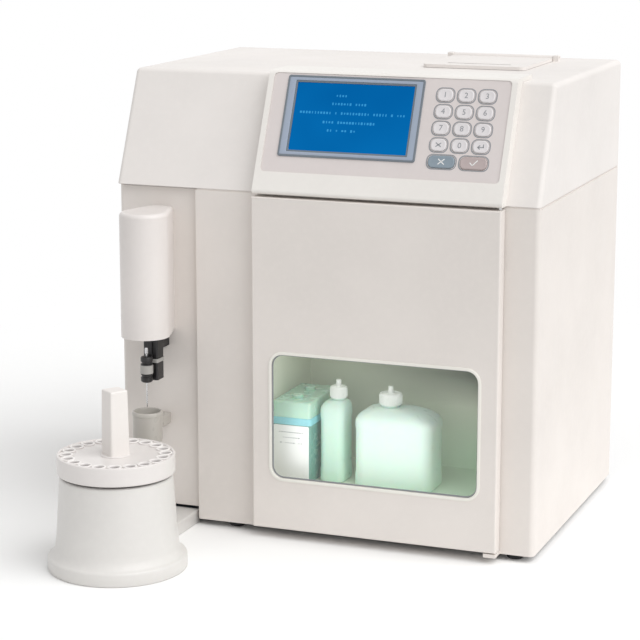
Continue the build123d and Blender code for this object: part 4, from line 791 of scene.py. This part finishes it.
def mark_mesh(mark, at, base):
    """The printed mark of a key: its number, or a plain sign."""
    if mark.isdigit():
        return letters(mark, 7.0, 0.12, SLOPE, (*at, base))
    strokes = {
        "clear": (((-2.2, -1.6), (2.2, 1.6)), ((-2.2, 1.6), (2.2, -1.6))),
        "enter": (((2.4, 1.8), (2.4, -0.6)), ((2.6, -0.6), (-2.4, -0.6)),
                  ((-2.4, -0.6), (-0.8, 1.0)), ((-2.4, -0.6), (-0.8, -2.2))),
        "no": (((-2.6, -2.2), (2.6, 2.2)), ((-2.6, 2.2), (2.6, -2.2))),
        "yes": (((-3.0, 0.2), (-0.8, -2.2)), ((-0.8, -2.2), (3.4, 2.4))),
    }[mark]
    bars = []
    for (x0, y0), (x1, y1) in strokes:
        along = Vector((x1 - x0, y1 - y0, 0))
        turn = Matrix.Rotation(atan2(along.y, along.x), 4, "Z")
        middle = Matrix.Translation((at[0] + (x0 + x1) / 2, at[1] + (y0 + y1) / 2, base))
        place = SLOPE @ middle @ turn
        bars.append(slab((along.length + 0.8, 0.9), 0.42, 0.12, place, low_ease=0.02, high_ease=0.04))
    return joined(bars)


def make_keys():
    """Fourteen dished caps, each with its mark."""
    for node, mark, at, size in key_places():
        finish = {"no": "key_blue", "yes": "key_brown"}.get(mark, "key")
        ink = "print_light" if mark in ("no", "yes") else "print"
        finished(node + "_cap", dished_key(size, at, OVERLAY_OUT - 2.0, OVERLAY_OUT + 1.5), finish, node)
        sign = mark_mesh(mark, at, OVERLAY_OUT + 1.2)
        finished(node + "_mark", sign, ink, body=node)


def make_screen():
    """The screen in its stepped frame, with lines of generic marks on its lit field."""
    sizes = (grown(LCD, 18, 12), grown(LCD, 14.4, 8.4))
    edge = rim_frame(*sizes, 2.0, 1.2, 1.4, SLOPE, LCD_AT, OVERLAY_OUT, 0.35)
    finished("bezel_edge", edge, "bezel_dark", "lcd_bezel")
    band = rim_frame(grown(LCD, 14.8, 8.8), grown(LCD, 3.0), 1.3, 0.8, 1.1, SLOPE, LCD_AT, OVERLAY_OUT, 0.3)
    finished("bezel_band", band, "bezel_light")
    inner = rim_frame(grown(LCD, 3.4), grown(LCD, -0.2), 0.9, 0.5, 0.9, SLOPE, LCD_AT, OVERLAY_OUT - 0.4, 0.2)
    finished("bezel_inside", inner, "bezel_dark")
    glass = slab(grown(LCD, -0.4), 0.5, GLASS_T, SLOPE, LCD_AT, GLASS_BACK, 0.2, 0.3)
    finished("screen_glass", glass, "screen", "lcd_screen")
    cell = slab((2.0, 2.6), 0.5, 0.06, TABLE, **THIN)
    rows = []
    for v, u, count, seed in SCREEN_LINES:
        sizes = {"Count": count, "Pitch": 2.75, "Gap Share": 0.16, "Seed": seed}
        at = Matrix.Translation((LCD_AT[0] + u, LCD_AT[1] + v, GLASS_BACK + GLASS_T))
        rows.append(repeated(cell, PRINT, sizes, SLOPE @ at, "marks"))
    finished("screen_marks", joined(rows), "marks")


# Reagents behind the window

NECK_H = 11.0
PACK_CASE_H = 60.5
PACK_TOP_Z = 107.3


def neck_of(node):
    """The middle and radius of a bottle's neck, from its rim."""
    top = corners(node)[1].z
    rim = [v.co / MM for v in nodes[node].data.vertices if v.co.z / MM > top - 0.1]
    xs, ys = [p.x for p in rim], [p.y for p in rim]
    return (min(xs) + max(xs)) / 2, (min(ys) + max(ys)) / 2, (max(xs) - min(xs)) / 2


def bottle_mesh(node, neck, corner, shoulder):
    """A blown bottle: a dished foot, flat panels, a soft shoulder and a threaded neck."""
    low, high = corners(node)
    x, y, neck_r = neck
    middle = Vector(((low.x + high.x) / 2, (low.y + high.y) / 2))
    size = width, depth = high.x - low.x, high.y - low.y
    body_top = high.z - NECK_H
    levels = [(6.0, low.z + 2.2), (6.6, low.z + 0.4), (1.6, low.z), (0.48, low.z + 0.7), (0.0, low.z + 2.4)]
    levels += [(0.0, low.z + 12), (0.5, low.z + 13.5), (0.5, body_top - shoulder - 7)]
    levels += [(0.0, body_top - shoulder - 5), (0.0, body_top - shoulder)]
    rings = []
    for cut, z in levels:
        rings.append(level(grown(size, -2 * cut), max(corner - cut, 1.0), TABLE, middle, z))
    for i in range(1, 9):
        turn = i / 8 * pi / 2
        share = 1 - cos(turn)
        w, d = width + (2 * neck_r - width) * share, depth + (2 * neck_r - depth) * share
        radius = min(corner + (neck_r - corner) * share, w / 2, d / 2)
        at = middle.lerp(Vector((x, y)), share)
        rings.append(level((w, d), radius, TABLE, at, body_top - shoulder + shoulder * sin(turn)))
    neck_rings = [(neck_r, 3), (neck_r + 0.7, 3.6), (neck_r + 0.7, 4.4), (neck_r, 5), (neck_r, NECK_H)]
    neck_rings += [(neck_r - 1.4, NECK_H), (neck_r - 1.4, -2)]
    for r, rise in neck_rings:
        rings.append(level((2 * r, 2 * r), r, TABLE, (x, y), body_top + rise))
    return lofted(rings)


def cap_mesh(at, rim_z, radius, ribs):
    """A screw cap with a ribbed skirt, a raised top ring and a tube nozzle."""
    height = 10.5
    place = Matrix.Translation((*at, rim_z - height))
    profile = [(0, 2.0), (radius - 1.6, 2.0), (radius - 1.6, 0), (radius - 0.4, 0), (radius, 0.5)]
    profile += [(radius, height - 1.2), (radius - 0.3, height - 0.4), (radius - 1.0, height)]
    profile += [(radius - 2.2, height), (radius - 2.6, height - 0.5), (3.6, height - 0.5), (3.0, height)]
    profile += [(2.5, height + 0.8), (2.3, height + 6), (1.4, height + 6), (1.4, height), (0, height)]
    rib = slab((0.7, 0.8), 0.3, height - 2.6, TABLE, (0, 0), 0.9, 0.2, 0.3, 2)
    ribbed = repeated(rib, RING, {"Count": ribs, "Radius": radius + 0.05}, place, "cap")
    return joined([turned(profile, place, 48), ribbed])


def make_reagents():
    """The pack and the two bottles that show through the window."""
    caps = []
    for node, corner, shoulder, ribs in (("large_bottle", 12.0, 13.0, 40), ("small_bottle", 6.6, 10.0, 32)):
        neck = neck_of(node)
        finished(node + "_body", bottle_mesh(node, neck, corner, shoulder), node, node)
        caps.append(cap_mesh(neck[:2], corners(node)[1].z + 1.5, neck[2] + 1.65, ribs))
    finished("bottle_caps_ribbed", joined(caps), "cap", "bottle_caps")
    low, high = corners("reagent_pack")
    middle = ((low.x + high.x) / 2, (low.y + high.y) / 2)
    size = (high.x - low.x, high.y - low.y)
    case = slab(size, 3.0, PACK_CASE_H, TABLE, middle, low.z, 0.8, 0.6)
    finished("pack_case", case, "pack", "reagent_pack")
    parts = [slab(grown(size, -0.8), 2.8, high.z - PACK_TOP_Z - 0.1, TABLE, middle, PACK_TOP_Z, 0.3, 1.8)]
    for dy in (-20, 12):
        place = Matrix.Translation((middle[0], middle[1] + dy, high.z - 0.4))
        parts.append(turned([(0, 0), (5.0, 0), (5.0, 3.2), (4.4, 3.8), (0, 3.8)], place, 32))
    finished("pack_top", joined(parts), "pack_top")
    label = slab((size[0] - 3.0, 51.0), 1.2, 0.5, facing(low.y), (middle[0], 75.0), -0.1, 0.1, 0.15)
    finished("pack_label", label, "pack_label")
    band = rim_frame(grown(size, 0.7), grown(size, -2), 3.2, 2.0, 6.4, TABLE, middle, 101.2, 0.4)
    finished("pack_band", band, "cyan")
    cell = slab((2.0, 1.0), 0.2, 0.06, TABLE, **THIN)
    rows = []
    for row, (count, seed) in enumerate(((10, 3), (7, 8), (9, 12))):
        sizes = {"Count": count, "Pitch": 2.5, "Gap Share": 0.2, "Seed": seed}
        at = facing(low.y - 0.4) @ Matrix.Translation((middle[0], 94.0 - 5.0 * row, 0))
        rows.append(repeated(cell, PRINT, sizes, at, "print"))
    finished("pack_print", joined(rows), "print")


# Sampler: needle, wash cup and carousel

SAMPLER_X = -157.0
NEEDLE_Y = -77.0
CAROUSEL = (-139.0, -179.0)
BODY_LEFT = -200.0
BAY_W = 79.0
NECK_HALF = 30.0
NECK_GAP = 3.3
NECK_FRONT = -139.0
TONGUE = 9.0
TRAY_TOP = 101.0
POCKETS = 20
POCKET_RING = 43.0
POCKET_R = 5.6
POCKET_PHASE = radians(114.7434)


def make_sampler():
    """The guide block with its clip, the needle in its carrier, and the wash cup."""
    softened("probe_arm", 0.5, "black")
    clip_at = (SAMPLER_X, corners("probe_arm")[0].y + 7.0)
    clip = rim_frame((15.4, 15.4), (13.9, 13.9), 1.9, 1.4, 3.4, TABLE, clip_at, 157.5, 0.3)
    finished("guide_clip", clip, "grey", body="arm")
    low, high = corners("needle_carrier")
    at_foot = Matrix.Translation((SAMPLER_X, NEEDLE_Y, low.z))
    profile = [(0, 0), (4.2, 0), (5.0, 0.6), (5.5, 1.4), (5.5, 4.6), (4.6, 5.2), (4.6, 6.4), (5.5, 7.0)]
    profile += [(5.5, 17.0), (4.6, 17.6), (4.6, 18.8), (5.5, 19.4), (5.5, 22.6), (4.9, 23.6)]
    profile += [(3.4, 24.0), (0, 24.0)]
    runner = slab((7.9, 2.2), 0.3, high.z - low.z, TABLE, (SAMPLER_X, high.y - 1.15), low.z, 0.2, 0.3)
    web = slab((4.5, 5.0), 0.3, high.z - low.z, TABLE, (SAMPLER_X, high.y - 3.6), low.z, 0.2, 0.3)
    carrier = joined([turned(profile, at_foot, 40), runner, web])
    finished("needle_carrier_body", carrier, "black", "needle_carrier")
    sleeve = closed_ring([(5.45, 8.0), (5.9, 8.4), (5.9, 15.6), (5.45, 16.0)], at_foot, 40)
    finished("needle_sleeve", sleeve, "grey", body="probe")
    low, high = corners("needle")
    at_foot = Matrix.Translation((SAMPLER_X, NEEDLE_Y, low.z))
    top = high.z - low.z
    profile = [(0, 0), (0.22, 0.4), (0.55, 3.0), (0.8, 5.5), (0.8, top - 6), (1.5, top - 5.6)]
    profile += [(1.6, top - 4.6), (1.6, top - 1.0), (1.2, top), (0, top)]
    finished("needle_tube", turned(profile, at_foot, 24), "steel", "needle")
    low, high = corners("wash_cup")
    at_foot = Matrix.Translation((SAMPLER_X, NEEDLE_Y, low.z))
    top = high.z - low.z
    profile = [(0, 0), (2.4, 0), (3.0, 0.6), (3.0, 7.6), (4.2, 8.2), (10.5, 8.4), (12.6, 9.4), (13.5, 11.4)]
    profile += [(13.5, top - 4), (13.9, top - 3.6), (13.9, top - 1.0), (13.3, top - 0.2), (12.6, top)]
    profile += [(11.9, top - 0.3), (11.5, top - 1.2), (11.5, 15.0), (9.0, 12.2), (3.0, 11.2)]
    profile += [(2.0, 9.6), (0, 9.6)]
    reach = high.y - NEEDLE_Y - 12.0
    bracket = slab((12.0, reach), 0.8, 10.0, TABLE, (SAMPLER_X, high.y - reach / 2), low.z + 18.0, 0.5, 0.5)
    finished("wash_cup_body", joined([turned(profile, at_foot, 56), bracket]), "cup_grey", "wash_cup")


def arc_points(middle, radius, start, stop, steps=6):
    """Points of an arc in a section, in degrees."""
    turns = [radians(start + (stop - start) * i / steps) for i in range(steps + 1)]
    return [(middle[0] + radius * cos(a), middle[1] + radius * sin(a)) for a in turns]


def make_drum():
    """The flared drum on its plinth, and the neck that runs under the housing."""
    centre = Matrix.Translation((*CAROUSEL, 0))
    profile = [(0, 84.0), *arc_points((46.7, 81.2), 2.8, 90, 3, 8)]
    profile += [(50.6, 66.0), (51.6, 50.0), (52.5, 36.0), (53.6, 25.0)]
    profile += [(54.3, 20.0), (55.6, 16.6), (57.6, 14.0)]
    profile += [*arc_points((58.2, 10.2), 2.8, 75, 0, 6), (61.0, 1.2), (60.4, 0.4), (59.6, 0.0), (58.0, 0.0)]
    profile += [(58.0, 9.0), (50.5, 13.0), (46.5, 81.0), (0, 81.0)]
    back = FRONT_Y + TONGUE
    left, right = CAROUSEL[0] - NECK_HALF, BODY_LEFT + BAY_W - NECK_GAP
    middle = ((left + right) / 2, (back + NECK_FRONT) / 2)
    neck = slab((right - left, back - NECK_FRONT), 1.5, 12.6, TABLE, middle, 0.2, 0.4, 1.2)
    finished("drum_shell", joined([turned(profile, centre, 128), neck]), "drum", "sampler_base")


def make_tray():
    """The tray: a plate with a pocket for each cup, a raised lip and a skirt with rounded edges."""
    centre = Matrix.Translation((*CAROUSEL, 0))
    at_top = Matrix.Translation((*CAROUSEL, TRAY_TOP))
    spots = [POCKET_PHASE + tau * k / POCKETS for k in range(POCKETS)]
    cuts = [moved(circle(POCKET_R, 28), (POCKET_RING * cos(a), POCKET_RING * sin(a))) for a in spots]
    plate = cut_sheet([circle(50.0, 96), *cuts], 3.0, at_top, -3.0)
    lip = [(48.9, 98.5), (48.9, 101.0), *arc_points((49.9, 101.6), 0.9, 180, 60, 5)]
    lip += [*arc_points((50.3, 101.3), 1.2, 60, 0, 4), (51.5, 88.2)]
    lip += [*arc_points((50.3, 87.2), 1.2, 0, -90, 4), *arc_points((49.8, 86.8), 0.8, -90, -180, 3)]
    lip += [(49.0, 98.5)]
    seat = turned([(0, 100.5), (13.0, 100.5), (13.6, 101.3), (12.9, 101.9), (0, 101.9)], centre, 48)
    finished("tray_body", joined([plate, closed_ring(lip, centre, 128), seat]), "tray", "tray")


def make_carousel():
    """The tray, its post and a cup in each pocket."""
    make_tray()
    softened("tray_spindle", 1.0, "cover", 3)
    centre = Matrix.Translation((*CAROUSEL, TRAY_TOP))
    sizes = {"Count": POCKETS, "Radius": POCKET_RING, "Phase": POCKET_PHASE}
    wall = [(0, -14.9), (3.4, -14.9), (4.7, -13.4), (5.2, -11.5), (5.2, 0.05), (6.2, 0.1), (6.3, 0.35)]
    wall += [(6.3, 0.9), (5.9, 1.25), (5.3, 1.3), (4.7, 1.1), (4.3, 0.4), (4.3, -11.5), (3.6, -12.8)]
    wall += [(0, -13.4)]
    cups = repeated(turned(wall, TABLE, 20), RING, sizes, centre, "sample")
    finished("sample_cup_ring", cups, "sample", "sample_cups")


# Rear connections and the main board's parts

REAR_SCREWS = tuple((side * 192.5, z) for side in (-1, 1) for z in (34.0, 160.0, 290.0))
INLET_Z = 60.0
ROCKER_X = -114.0
PORT_AT = (-20.0, 32.0)
BOARD_TOP = 25.75
LEG_PITCH = 1.8
CANS_AT = (-40.0, 205.0)
CHIPS = (
    ((-70.0, 130.0), (26.0, 26.0), 3.0),
    ((-25.0, 135.0), (18.0, 18.0), 3.0),
    ((-35.0, 175.0), (22.0, 10.0), 5.0),
)


def make_rear_details():
    """Cross recesses in the rear screws, the switch's two signs and the data port in its shell."""
    rear = corners("rear_panel")[1].y
    crosses = []
    for x, z in REAR_SCREWS:
        for turn in (0, pi / 2):
            spot = Matrix.Translation((-x, z, corners("screws")[1].y - rear))
            place = REAR @ spot @ Matrix.Rotation(turn + 0.5, 4, "Z")
            crosses.append(slab((3.0, 0.7), 0.3, 0.06, place, **THIN))
    finished("screw_crosses", joined(crosses), "black")
    flange = corners("power_inlet")[1].y - rear
    signs = []
    for sign, up in (("I", 11.4), ("O", -11.4)):
        signs.append(letters(sign, 4.4, 0.1, REAR, (-ROCKER_X, INLET_Z + up, flange)))
    finished("switch_signs", joined(signs), "print_light")
    at = (-PORT_AT[0], PORT_AT[1])
    shell = [slab((30.6, 12.2), 1.2, 0.7, REAR, at, 0.95, 0.1, 0.3)]
    shell.append(rim_frame((18.0, 8.8), (16.6, 7.4), 2.4, 1.7, 1.2, REAR, at, 1.6, 0.25))
    for dx in (-12.4, 12.4):
        spot = REAR @ Matrix.Translation((at[0] + dx, at[1], 1.5))
        shell.append(turned([(0, 0), (2.2, 0), (2.2, 1.1), (1.8, 1.4), (0, 1.4)], spot, 6))
    finished("port_shell", joined(shell), "steel")
    block = slab((16.4, 7.2), 1.6, 0.5, REAR, at, 1.6, 0.05, 0.2)
    finished("port_block", block, "black")
    pin = turned([(0, 0), (0.5, 0), (0.5, 0.45), (0.35, 0.6), (0, 0.6)], TABLE, 12)
    rows = []
    for count, dy in ((5, 1.4), (4, -1.4)):
        spot = REAR @ Matrix.Translation((at[0], at[1] + dy, 2.1))
        rows.append(repeated(pin, GRID, {"Columns": count, "Pitch X": 2.8}, spot, "steel"))
    finished("port_pins", joined(rows), "steel")


def make_board_parts():
    """Chips with their rows of legs, and a row of capacitors, on the main board."""
    cases, legs = [], []
    leg = slab((0.7, 1.6), 0.15, 0.5, TABLE, low_ease=0.05, high_ease=0.1, steps=2)
    for at, size, height in CHIPS:
        cases.append(slab(grown(size, 0.1), 0.6, height + 0.1, TABLE, at, BOARD_TOP, 0.1, 0.4))
        sizes = {"Columns": int(size[0] / LEG_PITCH), "Pitch X": LEG_PITCH}
        for side in (-1, 1):
            spot = Matrix.Translation((at[0], at[1] + side * (size[1] / 2 + 0.7), BOARD_TOP))
            legs.append(repeated(leg, GRID, sizes, spot, "steel"))
    finished("board_chips", joined(cases), "black")
    finished("board_legs", joined(legs), "steel")
    profile = [(0, 0), (3.6, 0), (4.0, 0.5), (4.0, 1.2), (3.7, 1.5), (4.0, 1.8), (4.0, 10.4), (3.5, 11.0)]
    profile += [(2.6, 11.1), (2.4, 10.9), (0, 10.9)]
    spot = Matrix.Translation((*CANS_AT, BOARD_TOP))
    cans = repeated(turned(profile, TABLE, 24), GRID, {"Columns": 4}, spot, "amber")
    finished("board_capacitors", cans, "amber")


# Rear, printer and inner pieces that keep their CAD shapes

PLAIN_NODES = {
    "base_plate": "zinc", "rear_panel": "zinc", "screws": "steel", "key_board": "board",
    "door_window": "pane", "door_hinge_pins": "steel", "electrodes": "amber", "sensor_clamp": "steel",
    "pump_rotor": "steel", "pump_rollers": "cap", "pump_tube": "tube", "pinch_valve": "steel",
    "main_board": "board", "fan_rotor": "black", "printer_frame": "black", "paper_roll": "paper",
    "platen_roller": "rubber", "tray_motor": "zinc",
}


def finish_plain_nodes():
    """Gives the pieces whose CAD shape is right their finish."""
    for name, finish in PLAIN_NODES.items():
        nodes[name].data.materials.clear()
        nodes[name].data.materials.append(FINISH[finish])


# Stage and light

AMBIENT = 0.59
SUN_SHARE = 0.62
SUN_FROM = Vector((0.62, -0.20, 0.75))
SUN_SPREAD = 60
WINDOW_GLOW = 0.62
SHELF_GLOW = 2.6
FILL_Z = 93.0
SHELF_Z = 178.0
FLOOR_WHITE = (0.97, 0.97, 0.965)


def make_stage():
    """A pale floor that keeps the shadow near the instrument and fades into the white surround."""
    material, shader, where = new_finish("floor_white", FLOOR_WHITE, 0.9, Specular_IOR_Level=0.0)
    away = shade(where.id_data, "ShaderNodeVectorMath", {0: where}, output="Value", operation="LENGTH")
    feed(shader, "Alpha", spread(away, 1.0, 0.0, 0.55, 1.1))
    bm = bmesh.new()
    bmesh.ops.create_grid(bm, x_segments=1, y_segments=1, size=1.5)
    mesh = mesh_of(bm, "floor")
    mesh.materials.append(material)
    floor = add_object("floor", mesh)


def make_world():
    """An even pale surround, white to the camera, to gloss and through the clear sheet."""
    world = bpy.data.worlds.new("studio")
    bpy.context.scene.world = world
    world.use_nodes = True
    tree = world.node_tree
    background = tree.nodes["Background"]
    paths = tree.nodes.new("ShaderNodeLightPath")
    seen = calc("MAXIMUM", paths.outputs["Is Camera Ray"], paths.outputs["Is Transmission Ray"])
    seen = calc("MAXIMUM", seen, paths.outputs["Is Glossy Ray"])
    strength = shade(tree, "ShaderNodeMapRange", {"Value": seen, "To Min": AMBIENT, "To Max": 1.0})
    feed(background, "Strength", strength)
    background.inputs["Color"].default_value = (1, 1, 1, 1)


def make_lights():
    """One broad soft light from the right, above and a little in front."""
    data = bpy.data.lights.new("key", "SUN")
    data.energy = SUN_SHARE * pi
    data.angle = radians(SUN_SPREAD)
    lamp = add_object("key", data)
    lamp.rotation_euler = (-SUN_FROM).to_track_quat("-Z", "Y").to_euler()
    lamp.location = SUN_FROM * 2


def soft_panel(name, size, glow, place, turn):
    """A soft lamp as a bright rectangle of that glow, unseen itself."""
    data = bpy.data.lights.new(name, "AREA")
    data.shape = "RECTANGLE"
    data.size, data.size_y = size[0] * MM, size[1] * MM
    data.energy = glow * pi * data.size * data.size_y
    lamp = add_object(name, data)
    lamp.location = Vector(place) * MM
    lamp.rotation_euler = turn
    lamp.visible_camera = False
    lamp.visible_glossy = False


def make_compartment_lights():
    """A weak panel behind the pane's lower part, and a strip under the partition."""
    x, y = WINDOW_AT[0], FRONT_Y
    soft_panel("window fill", (178, 62), WINDOW_GLOW, (x, y + 2.0, FILL_Z), (pi / 2, 0, 0))
    soft_panel("shelf strip", (180, 20), SHELF_GLOW, (x, y + 18.0, SHELF_Z), (radians(12), 0, 0))


set_camera()
make_shells()
make_window_rim()
make_film()
make_keys()
make_screen()
make_reagents()
make_sampler()
make_drum()
make_carousel()
make_rear_details()
make_board_parts()
finish_plain_nodes()
make_stage()
make_world()
make_lights()
make_compartment_lights()
bpy.context.scene.view_settings.view_transform = "Standard"
